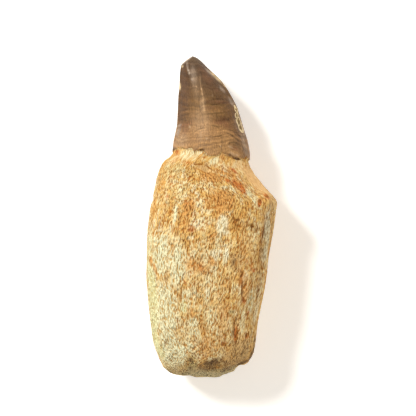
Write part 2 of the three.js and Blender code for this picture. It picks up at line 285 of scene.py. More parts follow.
def tooth_points():
    """The tooth's vertices but for its poles, rings by columns by x, y, z, with the broad relief on them;
    the coordinates that the patterns follow; and how strongly each vertex takes a finish."""
    angle = (np.arange(AROUND) + 0.5) * 2 * math.pi / AROUND
    position, angle = np.meshgrid(ring_positions(ALONG), angle, indexing="ij")
    place = beside_foot(position, angle)
    small = 1e-3
    smooth = smooth_points(place, angle)
    around = smooth_points(place, angle + small) - smooth_points(place, angle - small)
    onward = smooth_points(place + small, angle) - smooth_points(place - small, angle)
    normals = np.cross(onward, around)
    normals /= np.linalg.norm(normals, axis=-1, keepdims=True)
    x, y, z = np.moveaxis(smooth, -1, 0)

    short = foot_line(x, z) - y
    enamel = -ENAMEL_STEP * smoothstep(*ENAMEL_EDGE, short) * np.exp(-((short / NECK_RECOVERY) ** 2))

    on_crown = smoothstep(*KEELS_BEGIN, y) * (1 - smoothstep(*KEELS_END, y))
    nearest = np.min([np.abs(np.degrees(angle) - keel) for keel in KEELS], axis=0)
    keels = KEEL_RELIEF * on_crown * np.exp(-((nearest / KEEL_WIDTH) ** 2))

    on_root = 1 - smoothstep(*ROOT_FADES, y)
    fibrous = 1 - smoothstep(*FIBRES_FADE, y)
    # the grain's coordinates wrap round the tooth, and shrink with it over the broken end
    off_middle = np.hypot(x - SECTIONS[0, 1], z - SECTIONS[0, 3])
    full = smooth_points(np.full_like(angle, END_BEGINS), angle)
    girth = off_middle / np.hypot(full[..., 0] - SECTIONS[0, 1], full[..., 2] - SECTIONS[0, 3])
    spread = GRAIN_RADIUS * np.where(position < END_BEGINS, np.minimum(1, girth), 1)
    grain = np.stack([np.cos(angle) * spread, np.sin(angle) * spread, y], axis=-1)
    _, left, right, *_ = np.moveaxis(sections_at(place), -1, 0)
    narrowing = np.clip(FLOW_HALF_WIDTH / ((right - left) / 2), *FLOW_SQUEEZE)
    flow = np.stack([(x - (left + right) / 2) * narrowing, y, z], axis=-1)
    # each noise has a whole number of its own added, so that no two are alike
    lumps = noise(x / LUMP_SPACING, y / LUMP_SPACING + 7, z / LUMP_SPACING)
    pits = noise(x / PIT_SPACING, y / PIT_SPACING, z / PIT_SPACING + 31)
    fibres = noise(grain[..., 0] / FIBRE_SPACING, grain[..., 1] / FIBRE_SPACING, y / FIBRE_LENGTH + 53)
    granular = (1 - fibrous) * PIT_RELIEF * np.minimum(0, pits - PIT_LEVEL)
    root = on_root * (LUMP_RELIEF * lumps + granular + fibrous * FIBRE_RELIEF * fibres)

    on_break = (1 - smoothstep(*BREAK_FADES, END + y)) * smoothstep(*BREAK_RIM, off_middle)
    bumps = noise(x / BREAK_SPACING, y / BREAK_SPACING, z / BREAK_SPACING + 17)
    broken = BREAK_RELIEF * on_break * (bumps - BREAK_LEVEL)

    ends = smoothstep(*SMOOTH_TIPS, END - np.abs(y))
    relief = ends * (enamel + keels + root + feature_relief(smooth, normals)) + broken
    points = smooth + normals * relief[..., None]
    beyond = np.maximum(0, (points - TIP_WEAR_POINT) @ TIP_WEAR_FACING)
    points -= beyond[..., None] * TIP_WEAR_FACING
    points[..., 2] = np.maximum(0, points[..., 2])
    stained = 1 - smoothstep(*BREAK_STAIN_FADES, y + BREAK_STAIN_WAVE * bumps)
    return points, {"rest": smooth, "flow": flow, "wrap": grain}, {"short": short, "broken": stained}


# ---------------------------------------------------------------------------------------------
# Stains and marks of the upper face, listed one by one. Each is an oval:
# name, across, along, half-length, half-width, turn from +X in degrees, strength
# ---------------------------------------------------------------------------------------------
MARKS = {
    "cream": (
        ("middle", -2, -20, 14, 9, 90, 0.35),
        ("right side", 11.5, -20, 18, 5.5, 88, 0.3),
        ("lower middle", 2, -38, 10, 9, 90, 0.4),
        # the left edge and margins, here and in the yellow marks: partly the bone's pale colour, partly
        # painted light on the side that faces the key light
        ("left edge", -20.6, -21.6, 18, 2, 91, 1),
        ("left margin, upper", -16.6, -13.6, 8.4, 4.6, 88, 1),
        ("left margin, lower", -16.1, -32.1, 12, 5, 92, 1),
        ("left side, inner", -11.2, -16.3, 7.5, 3, 84, 0.85),
        ("upper middle", 5.2, 9.4, 2.2, 0.9, -10, 0.5),
        ("upper left", -15.4, 3.8, 5, 1.2, 84, 0.5),
        ("right of the swelling", 9.2, -8.6, 3, 1.8, 90, 0.35),
        ("left of the root end", -12.7, -45.3, 5.5, 4.5, 60, 1),
        ("left margin, foot", -18, -41.5, 9, 2.6, 106, 1.1),
        ("low left, inner", -8, -40, 7, 3, 88, 0.6),
        ("low middle", -6.3, -35.2, 2.4, 1.8, 20, 0.7),
        ("low middle, under it", -4.9, -38.4, 1.6, 1.2, 80, 0.7),
        ("low middle, left", -8.2, -27.5, 4, 2, 85, 0.7),
        ("streak beside the ochre", -11.7, 1.5, 3, 0.6, 82, 0.8),
        ("neck, left", -7.6, 20.8, 3.2, 1.7, 8, 0.75),
        ("neck, middle", 1.1, 18.2, 2.4, 1.4, 20, 0.6),
        ("neck, right", 8.4, 17.6, 2, 1, 60, 0.5),
        ("right of the flake", 5.2, 14.7, 1.3, 0.8, 0, 0.6),
        ("low right margin", 13.3, -27.7, 4.5, 1.6, 82, 0.7),
        ("low right, inner", 10.5, -34.4, 4.5, 1, 88, 0.6),
        ("beside the shoulder", 14.3, 4.5, 1.6, 0.6, 88, 0.8),
        ("beneath the slope", 11.8, 8.4, 3.2, 1.2, -40, 0.45),
        ("under the pale swelling", 2.6, -8.6, 3.6, 1.6, 85, 0.6),
    ),
    "yellow": (
        ("beneath the neck, left", -12.3, 15.7, 4, 2.3, 30, 0.35),
        ("below the left shoulder", -11.2, 8.3, 5, 3.5, 80, 0.3),
        # partly painted light on the left side, which faces the key light
        ("left margin, low", -18.5, -41.3, 7, 1.6, 108, 1),
        ("left shoulder", -14.6, 15.8, 5, 1.8, 64, 0.3),
        ("middle of the lower left", -9.2, -29.9, 2.2, 1.3, 85, 0.8),
        ("left margin", -20, -27, 20, 2.4, 92, 0.8),
    ),
    "ochre": (
        ("left middle", -7.6, 3, 3.2, 2.2, 84, 0.9),
        ("left middle, lower", -8.6, -2.6, 3.4, 2.8, 100, 0.45),
        ("below the spalled flake", 0.9, 13.1, 4, 1.4, -6, 1.2),
        ("right of the spalled flake", 3.6, 14.9, 3.2, 1.3, -30, 1),
        ("upper middle", 3.2, 5.2, 4.8, 3.6, 0, 0.9),
        ("upper left", -19, 4.5, 3.5, 0.6, 82, 0.4),
        ("left shoulder", -13.7, 12.2, 2.2, 0.6, 60, 0.3),
        ("shoulder slope", 8.6, 13, 4.5, 1.5, -48, 0.9),
        ("neck, far left", -11.3, 21.4, 1.4, 1, 20, 0.9),
        ("neck, left", -7.8, 18, 2.6, 0.8, -10, 0.5),
        ("neck, middle", -2.7, 20.4, 1.3, 1, 40, 0.8),
        ("neck, notch", 3.8, 20.2, 1.5, 1, 90, 0.7),
        ("neck, right", 3.4, 17.5, 1.5, 0.8, -60, 0.6),
        ("band across the middle", -4.4, -16.7, 4.6, 2.4, -18, 0.6),
        ("middle", 0.6, -14.4, 1.3, 2, 0, 0.7),
        ("right middle", 12.8, -13.5, 6, 2.2, 88, 0.4),
        ("right middle, inner", 9.8, -19.5, 4, 1.3, 88, 0.8),
        ("right, lower", 11.4, -23.5, 5, 1.6, 87, 0.45),
        ("low left, pink", -10.7, -36.8, 2, 1.4, 30, 0.2),
        ("low middle", 4.2, -33, 6, 2.6, 88, 0.5),
        ("low middle, near the end", -2.2, -44.6, 3.3, 2.2, 90, 0.5),
        ("left rim", -20.1, -14.8, 1.8, 0.7, -80, 1),
        ("left rim, lower", -18.9, -17.1, 1.8, 0.7, -70, 0.8),
        ("left of the root end", -16.9, -42.7, 3.4, 0.45, -84, 0.35),
    ),
    "brown": (
        ("right of the middle", 8, -14.6, 2.8, 1.5, 84, 1.1),
        ("above the arc ledge", 9.6, -1.6, 4.6, 1.8, -10, 0.4),
        ("right of the ledge", 14.5, -3.8, 2.4, 1.4, 20, 0.6),
        # the right flank and edge: partly brown stain, partly painted shade on the side turned from the key
        # light
        ("right flank, middle", 16.6, -12.2, 2.4, 1, 86, 0.8),
        ("right flank, lower", 16.2, -19.4, 6, 1, 84, 0.6),
        ("under the shoulder's tip", 20.4, 3.6, 2, 1, -80, 0.8),
        ("spalled flake", -2.6, 16.2, 2.6, 0.8, -26, 1.2),
        ("right edge", 20.7, -3.9, 6, 0.5, 84, 0.8),
        ("low right", 8, -37.3, 5, 1.1, 87, 0.9),
        ("low right, inner", 3.8, -27, 6, 2.4, 88, 0.15),
        ("middle furrow", -3, -36.9, 2, 0.8, 94, 0.7),
        ("left stripe", -14.6, -19.3, 3.2, 0.7, 92, 0.7),
        ("root end, middle", -2.2, -50.5, 3.3, 1.4, 6, 0.7),
        # painted shade: the root end's lower right, where it curves away from the light
        ("root end, low right", 8.6, -46.2, 6, 4.5, 60, 0.8),
    ),
    "olive": (
        ("root end, left", -6.6, -49.3, 4.2, 2, 80, 0.8),
        ("root end, far left", -9.8, -50.8, 2.6, 1.2, 150, 0.4),
        ("root end, middle", 1, -51.7, 2.2, 0.9, 4, 0.8),
        ("low right pit", 6.7, -31.6, 1, 0.7, 10, 0.8),
        ("middle", -2.5, -6.3, 1.2, 1.6, 0, 0.3),
    ),
    "grey": (
        # the right flank's grey strip: its grey colour, made paler as painted light on the side turned from
        # the key light
        ("strip of the right flank", 18.7, -3.4, 6, 1.4, 86, 1),
        ("right flank, lower", 18, -12.2, 4, 1, 82, 0.8),
        ("right flank, low", 15.1, -32.3, 7, 0.8, 78, 0.5),
    ),
    # dark marks: a dark stain right of the middle, and at the root's end partly dark pits and partly painted
    # shade where the end curves down away from the light
    "dark": (
        ("right of the middle", 7.8, -14.8, 1.6, 1, 84, 0.4),
        ("root end, middle", 0.4, -49.4, 4.2, 2, 18, 0.8),
        ("root end, rim", 6, -53, 3.4, 0.8, 14, 0.8),
        ("root end, left pit", -6.8, -47.6, 1, 0.7, 60, 0.8),
        ("root end, bottom", -3.5, -52.9, 7, 0.5, 0, 0.9),
        ("root end, right of it", 5.6, -51.6, 3.2, 1.3, 22, 0.8),
        ("root end, corner", 10.2, -49.6, 2.6, 0.7, 26, 0.9),
        ("root end, right rim", 13.7, -46.6, 3, 0.6, 68, 0.8),
        ("root end, right rim, upper", 14.8, -42, 3, 0.5, 84, 0.6),
        ("root end, left of the middle", -2.6, -51.6, 2.8, 1.1, 22, 0.8),
        ("root end, left, upper", -6.4, -48.2, 1.2, 0.4, 80, 0.7),
        ("root end, left, lower", -6.8, -51.2, 1.4, 0.6, 96, 0.7),
        ("root end, fleck", 10.3, -45.8, 0.8, 0.35, 50, 0.8),
    ),
    "chalk": (
        ("strand beneath the enamel", -3.4, 21.4, 1.1, 0.25, 32, 0.9),
        ("strand, right", -1.8, 21.3, 0.9, 0.2, -62, 0.8),
        ("strand, left", -7.8, 22.9, 0.9, 0.3, 10, 0.7),
        ("pale swelling", 3.7, -2.6, 3, 1.8, 84, 1.1),
        ("pale swelling, lower", 4.4, -5.1, 1.6, 1.2, 0, 0.8),
        ("beside the pale swelling", -0.2, -1.9, 1.2, 1, 0, 0.4),
        ("speck above", -4.2, 3.8, 0.9, 0.5, 88, 0.7),
        ("speck right of it", -3, 1.6, 0.6, 0.4, 80, 0.6),
        ("upper left, outer", -6.3, 9, 0.6, 0.4, 80, 0.7),
        ("upper left, middle", -5.1, 7.8, 0.5, 0.4, 0, 0.7),
        ("upper left, inner", -4.2, 7.4, 0.8, 0.4, 84, 0.7),
        ("upper left, above", -3.7, 10, 0.5, 0.4, 0, 0.6),
        ("middle, left", 0.7, -12.1, 1, 0.8, 80, 1.3),
        ("middle, upper", 2.7, -11.4, 0.9, 0.5, 10, 1.2),
        ("middle, lower", 1.5, -13.7, 1, 0.4, 84, 1),
        ("middle, right", 5, -12.4, 2.2, 0.7, 86, 1.3),
        ("middle, right, upper", 4.8, -9.4, 0.6, 0.4, 0, 0.8),
        ("low middle", -1.5, -24.6, 1.8, 0.6, 92, 1.1),
        ("left", -14.3, -16, 0.4, 0.4, 0, 0.9),
        ("under the left ochre", -6.2, -6.9, 0.7, 0.4, 70, 0.8),
        ("under the left ochre, outer", -7.4, -7.1, 0.9, 0.6, 80, 0.7),
    ),
    "rust": (
        ("slope, upper", 7.6, 15.4, 1.5, 0.5, -40, 1),
        ("slope, middle", 8.1, 10.7, 1.9, 0.9, -56, 1),
        ("slope, lower", 10.3, 9.3, 2.1, 0.8, -62, 1),
        ("slope, above the middle", 5.8, 11.8, 1.4, 0.6, -30, 0.9),
        ("slope pit, upper", 15.1, 9.5, 0.7, 0.4, -50, 0.6),
        ("slope pit, outer", 18.6, 6.9, 1.1, 0.6, -40, 1.19),
        ("slope pit, lower", 16.2, 4.8, 1.4, 0.6, 80, 1.19),
        ("below the swelling", 1.1, -6.6, 1.5, 0.6, 86, 0.4),
        ("left of the swelling", -6.2, -4.2, 1.4, 0.8, 10, 0.51),
        ("middle band", -3.3, -16.9, 1.4, 0.8, -70, 0.59),
        ("left of it", -8.5, -21.7, 0.7, 0.5, 0, 0.59),
        ("middle", 3.2, -10.1, 1.2, 0.5, 80, 0.59),
        ("right middle", 14.1, -18, 0.8, 0.6, 0, 0.77),
        ("right middle, streak", 13.4, -15.8, 2.2, 0.4, 88, 0.77),
        ("right streak", 10.2, -20.3, 3.6, 0.5, 88, 0.68),
        ("right streak, lower", 10.8, -27.9, 1.4, 0.6, -70, 0.77),
        ("low right pit", 12.2, -32.1, 1, 0.4, 60, 0.85),
        ("low right pit, lower", 12.1, -39.9, 0.9, 0.7, 50, 0.77),
        ("low right streak", 8.3, -39.4, 3, 0.6, 86, 0.77),
        ("low middle ring", 4.2, -42.2, 0.9, 0.8, 0, 0.77),
        ("low middle streak", 4.7, -39.9, 1.2, 0.4, 80, 0.77),
        ("upper left", -14.6, 6.8, 0.9, 0.4, 84, 0.5),
        ("upper left, inner", -12.1, 6.3, 0.5, 0.4, 0, 0.59),
        ("upper left, upper", -13.5, 13.4, 0.7, 0.5, 0, 0.59),
        ("upper left, middle", -13.3, 10.8, 0.7, 0.5, 70, 0.59),
        ("left of the flake", -7.2, 12.7, 1.1, 0.4, 80, 0.68),
        ("left ochre, corner", -8, 4.3, 0.8, 0.5, 0, 0.59),
        ("neck, left", -7.8, 18.2, 0.9, 0.4, 0, 0.6),
        ("neck, left, lower", -9.1, 17.1, 0.8, 0.4, 0, 0.4),
        ("neck, far left", -11.5, 21.9, 0.8, 0.6, 20, 0.85),
        ("neck, below the splinters", -2.7, 20, 0.6, 0.5, 0, 0.68),
    ),
    "tan": (
        ("shoulder slope", 15.2, 11.9, 8, 2.2, -52, 0.9),
        ("slope, upper", 10.3, 17, 4, 1.8, -25, 0.5),
        ("neck, far left", -12.3, 19.3, 2.4, 1.2, 30, 0.7),
        ("spalled flake", -0.6, 15.4, 0.9, 0.35, 30, 0.9),
    ),
    # narrow dark furrows and pits, which are also sunk
    "slot": (
        ("right of the middle", 8.3, -15.6, 1.6, 0.4, 80, 1),
        ("right middle", 13.4, -14.9, 1.2, 0.3, 88, 0.9),
        ("right, upper", 10.2, -18.9, 1.4, 0.3, 76, 1),
        ("right, lower", 10.3, -23.4, 3, 0.22, 88, 1),
        ("right, low", 10.9, -27.3, 1.2, 0.25, 84, 0.6),
        ("right, outer", 11.6, -21.5, 1.6, 0.22, 88, 0.9),
        ("middle right", 6.3, -23.3, 1.8, 0.25, 90, 0.9),
        ("flank, upper", 17.5, -4.8, 2.8, 0.4, 80, 1),
        ("flank, middle", 16.6, -8.3, 1, 0.35, 70, 0.9),
        ("flank, lower", 16.9, -17, 1, 0.3, 90, 0.9),
        ("flank, low", 15.6, -25.4, 3.4, 0.35, 82, 0.7),
        ("flank, top", 18.7, -0.3, 1.4, 0.3, 88, 0.7),
        ("low right", 7.7, -35.4, 2.4, 0.25, 86, 1),
        ("low right, lower", 8.5, -39.8, 3, 0.28, 86, 1),
        ("low right, thin", 9.8, -33.6, 1, 0.3, 88, 0.9),
        ("low right pit", 11.8, -32.5, 0.5, 0.4, 60, 0.9),
        ("ledge pit, left", 7.7, -0.6, 0.5, 0.4, 0, 1),
        ("ledge pit, middle", 8.7, -1.1, 0.8, 0.4, 0, 0.9),
        ("ledge pit, lower", 8.3, -2.7, 0.5, 0.4, 0, 0.9),
        ("ledge pit, lowest", 9.1, -4.2, 0.4, 0.35, 0, 0.9),
        ("ledge pit, right", 13.7, -3.1, 0.9, 0.5, 80, 0.9),
        ("ledge pit, far right", 15, -5.1, 0.5, 0.4, 0, 0.8),
        ("slope pit", 16.1, 5.3, 0.8, 0.35, 80, 0.8),
        ("shoulder pit", 18.8, 6.8, 0.6, 0.4, 0, 0.9),
        ("upper middle pit", 2.5, 6.5, 0.5, 0.35, 50, 0.9),
        ("left ochre, inner edge", -5.2, 0.5, 1.2, 0.3, 100, 0.8),
        ("left ochre, outer pit", -10.5, 1.4, 0.5, 0.35, 0, 0.7),
        ("left, thin", -10.8, -2, 1.6, 0.25, 90, 0.8),
        ("left, rust pit", -14.3, -0.8, 0.4, 0.3, 0, 0.6),
        ("left middle", -11.3, -5.7, 0.9, 0.4, 80, 0.8),
        ("left middle pit", -9.1, -7.8, 0.6, 0.4, 50, 0.9),
        ("left grey pit", -12.5, -13.1, 0.35, 0.3, 0, 0.8),
        ("left grey pit, inner", -10.2, -14.3, 0.35, 0.3, 0, 0.9),
        ("middle pit", -6.2, -13.4, 0.5, 0.4, 0, 0.8),
        ("middle, rusty", -3.5, -13.9, 0.9, 0.35, 70, 0.8),
        ("below the swelling", 4, -8, 0.8, 0.35, 84, 0.8),
        ("low middle", -5.6, -22.2, 0.7, 0.4, 80, 0.8),
        ("low middle, thin", -2.9, -43.4, 1.9, 0.35, 90, 1),
        ("low left", -15.2, -42.5, 1.4, 0.35, 88, 0.6),
        ("low left, thin", -11.1, -34.6, 1, 0.25, 90, 0.8),
        ("low left, outer", -15.8, -34.5, 1.2, 0.2, 90, 0.6),
        ("left rim pit", -19.7, -30.8, 0.35, 0.35, 0, 0.8),
        ("low middle pit", -5.4, -39.5, 0.5, 0.3, 80, 0.9),
        ("low ring", 4.4, -42.4, 1, 0.5, 20, 1),
        ("low ring, streak above", 4.8, -39.9, 1.4, 0.3, 78, 1),
        ("low right, patch", 12.1, -39.6, 0.9, 0.6, 50, 0.9),
        ("spalled flake, upper edge", -4, 17.5, 1.7, 0.28, -3, 1.1),
        ("spalled flake, right edge", -0.4, 16.2, 2.4, 0.24, -34, 0.9),
        ("spalled flake, lower edge", -3.6, 15.6, 2.2, 0.2, -29, 0.8),
        ("right of the flake", -0.8, 14.5, 0.7, 0.3, 10, 0.8),
    ),
    # where the bone is drawn out into fibres
    "fibrous": (
        ("right side", 9.5, -26, 20, 5, 88, 0.9),
        ("middle", -2, -33, 18, 9, 90, 0.7),
        ("left side", -12, -22, 22, 6, 90, 0.7),
        ("right flank", 18, -8, 14, 3, 83, 0.8),
        ("left margin", -18.5, -10, 20, 3, 88, 0.9),
        ("low left", -14, -38, 9, 3, 96, 0.6),
    ),
    # where the root is sealed and smooth: the neck, the shoulder's slope and the spalled flake
    "sealed": (
        ("neck, left", -8, 20.2, 5.5, 2.4, -4, 0.7),
        ("neck, middle", 1, 18.6, 6.5, 2.6, -4, 0.5),
        ("neck, right", 9.5, 17, 5, 2.6, -22, 0.8),
        ("shoulder slope", 15, 12, 7.5, 1.8, -52, 0.9),
        ("spalled flake", -2.6, 16.1, 3.4, 1.4, -24, 0.9),
    ),
    # dark gaps under the enamel's foot: partly real crevices and partly painted shadow under the enamel's
    # proud edge
    "crevice_shadow": (
        ("right of the foot", 8.6, 19.5, 1.3, 0.35, -10, 1),
        ("middle of the foot", 6.4, 20.7, 1.6, 0.3, -22, 0.7),
        ("left splinter, inner", -3.1, 22.4, 0.9, 0.35, 24, 0.9),
        ("left splinter, outer", -5.2, 22.4, 0.9, 0.3, 24, 0.7),
        ("far left of the foot", -12.8, 22.9, 0.8, 0.5, 70, 0.9),
    ),
    # the crown's marks
    "chip": (
        ("right keel, upper", 8.5, 36.4, 1.4, 0.4, 112, 1.1),
        ("right keel, middle", 8.8, 34.3, 0.9, 0.6, 100, 1.3),
        ("right keel, lower", 9.5, 32.3, 1.5, 0.8, 104, 1.6),
        ("right keel, foot", 10.2, 30.2, 1.5, 0.7, 112, 1.5),
    ),
    "dark_enamel": (
        ("left side", -9.8, 40, 12, 2.8, 91, 0.85),
        ("right side", 8.2, 32.5, 13, 2.6, 108, 0.65),
        ("right side, foot", 11, 23.5, 5, 1.6, 100, 0.5),
        ("left side, lower", -9.4, 31, 6, 2.8, 84, 0.45),
        ("left facet", -9.2, 46.6, 7.4, 2, 91, 0.95),
        ("left facet, inner", -7.8, 46.3, 2.4, 0.35, 90, 0.9),
        ("right facet, upper", -3.9, 50.5, 0.6, 0.5, 0, 0.6),
        ("right side, upper", 1.5, 44.1, 5, 3, 112, 0.5),
        ("right side, lower", 3.7, 39.6, 4.2, 1.8, 0, 0.55),
        ("spot", -1.2, 38.8, 1, 0.5, 20, 0.8),
        ("right patch", 5.1, 32.8, 3.2, 1.2, -2, 0.8),
        ("right patch, lower", 6.3, 30.9, 2.4, 1.2, -12, 0.55),
        ("left band", -8.8, 31.4, 2.6, 0.5, 18, 0.6),
        ("blotch by the foot", 8.4, 23.5, 1.6, 0.6, -28, 0.5),
    ),
    "ruddy_enamel": (
        ("right patch, lower edge", 3.3, 31.7, 2.4, 0.8, -8, 0.59),
        ("right patch, foot", 5.1, 30.5, 1.6, 0.7, -20, 0.45),
        ("left band", -8.8, 30.9, 2.8, 0.7, 18, 0.45),
        ("right facet", -1.5, 48, 3, 1.5, 120, 0.39),
        ("right facet, lower", 1.9, 42.9, 0.6, 0.5, 0, 0.39),
        ("between the growth lines", 3.1, 38.7, 3.6, 0.5, 0, 0.39),
        ("below the growth lines", 0.6, 36.6, 2.6, 0.7, 0, 0.33),
        ("blotch by the foot", 8, 22.9, 1.5, 0.6, -20, 0.52),
        ("left, low", -8.9, 28.6, 2, 0.9, 60, 0.33),
    ),
    # grey marks: partly grey enamel and partly a painted sheen along the crown's ridges, keels and right
    # edge
    "grey_enamel_and_sheen": (
        ("ridge below the tip", -8.1, 51.6, 1.8, 0.35, 98, 0.65),
        ("ridge, speck", -7.7, 49.8, 0.4, 0.35, 0, 1.2),
        ("ridge, lower speck", -7.4, 48.8, 0.5, 0.35, 90, 1),
        ("middle speck", -6.3, 46.6, 0.4, 0.35, 0, 1.3),
        ("between the ridges", -6, 48.2, 3.2, 0.9, 97, 0.5),
        ("right keel, upper", -0.5, 49.2, 1.8, 0.4, 135, 0.9),
        ("right side, upper", 3.8, 43.3, 1.4, 0.5, 130, 0.5),
        ("right side, middle", 7, 39, 1.5, 0.6, 122, 0.7),
        ("left edge, middle", -10.9, 30.9, 0.9, 0.35, 20, 0.7),
        ("left edge, lower", -11.2, 28.8, 1.4, 0.6, 70, 0.7),
        ("right edge, low", 11.2, 24.2, 3.6, 0.6, 104, 0.45),
        ("right edge, middle", 11.2, 27.6, 1.8, 0.5, 108, 0.4),
    ),
    # pale marks: partly pale enamel and partly a painted sheen along the crown's right ridge
    "pale_enamel_and_sheen": (
        ("right ridge", -3.6, 46.2, 2.4, 0.2, 93, 0.4),
        ("right ridge, lower", -2.9, 41.9, 2.4, 0.2, 97, 0.4),
        ("right ridge, speck", -3.2, 43.3, 0.45, 0.25, 90, 1),
        ("right ridge, lower speck", -3, 41.4, 0.4, 0.22, 90, 0.9),
        ("small speck", -5, 44.1, 0.35, 0.3, 0, 1),
        ("right speck", 0.5, 40.9, 0.4, 0.22, 90, 0.5),
        ("upper middle", -5.2, 44, 5.5, 1, 96, 0.26),
        ("middle", -2.8, 37.4, 4, 0.9, 93, 0.59),
        ("lower middle", -3.2, 31.5, 5, 2.6, 92, 0.45),
        ("lower thread", -3.4, 27.3, 1.8, 0.35, 88, 0.8),
        ("lower speck", -1.5, 26.2, 0.4, 0.35, 0, 1.1),
        ("left speck", -7.2, 30.2, 0.5, 0.3, 90, 0.9),
        ("lower left", -9.9, 25.7, 2.4, 2, 70, 0.6),
        ("foot speck", 3.2, 23.6, 0.3, 0.3, 0, 1),
        ("blotch, light line", 6.5, 23.4, 0.8, 0.25, -20, 1.1),
        ("foot, right", 7.2, 21.1, 0.9, 0.4, -35, 1),
        ("foot, far right", 8.6, 20.7, 0.5, 0.35, 0, 1),
    ),
    # dentine that shows pale where the enamel is worn through
    "dentine": (
        ("rim of the worn tip", -8.2, 53.8, 2.4, 0.25, 38, 0.8),
        ("corner of the worn tip", -9.8, 51.4, 0.4, 0.35, 0, 1.1),
        ("right keel", 1.9, 47.4, 2.4, 0.45, 135, 1.1),
        ("right keel, lower", 4.6, 44.9, 1.2, 0.3, 125, 0.8),
        ("left keel", -10.6, 44.4, 1.1, 0.3, 90, 1.1),
        ("left keel, foot", -12.9, 22.4, 0.6, 0.4, 50, 0.8),
    ),
}

# The fewer marks of the hidden lower face
HIDDEN_MARKS = {
    "cream": (
        ("left", -11, -12, 14, 4.5, 86, 0.8),
        ("right", 12, -30, 10, 4, 95, 0.7),
        ("neck", 2, 15, 6, 3, 10, 0.6),
    ),
    "yellow": (("middle", -6, 4, 6, 4, 70, 0.6),),
    "ochre": (
        ("middle", 2, -6, 9, 4, 80, 0.8),
        ("neck", -6, 17, 4, 2, 0, 0.7),
        ("end", -3, -42, 6, 4, 60, 0.7),
    ),
    "brown": (
        ("shoulder", 14, 2, 6, 3, 60, 0.7),
        ("low", 6, -38, 9, 2.5, 95, 0.6),
    ),
    "olive": (("end", 4, -49, 5, 2, 10, 0.8),),
    "grey": (("flank", -17, -25, 10, 2, 92, 0.6),),
    "chalk": (
        ("patch", -4, -20, 3, 1.6, 80, 0.9),
        ("fleck", 7, 6, 1.5, 1, 20, 0.8),
    ),
    "rust": (
        ("streak", -7, -30, 5, 0.8, 92, 0.77),
        ("shoulder", 10, 8, 2, 1, -50, 0.77),
    ),
    "slot": (
        ("long", 9, -20, 6, 0.5, 92, 0.9),
        ("short", -12, 0, 3, 0.5, 86, 0.9),
    ),
    "fibrous": (("middle", 0, -15, 34, 20, 90, 0.9),),
    "sealed": (("neck", 0, 18.5, 14, 3, -6, 1),),
    "dark_enamel": (("middle", 0, 38, 9, 4, 95, 0.5),),
    "ruddy_enamel": (("middle", -4, 32, 5, 1.2, 10, 0.45),),
    # a painted sheen along the lower crown's ridge, and pale enamel by its foot
    "grey_enamel_and_sheen": (("ridge", -4.5, 41, 9, 0.6, 97, 0.6),),
    "pale_enamel_and_sheen": (("foot", 2, 27, 5, 2, 0, 0.6),),
    "dentine": (("speck", -7, 50, 0.8, 0.5, 60, 1),),
}
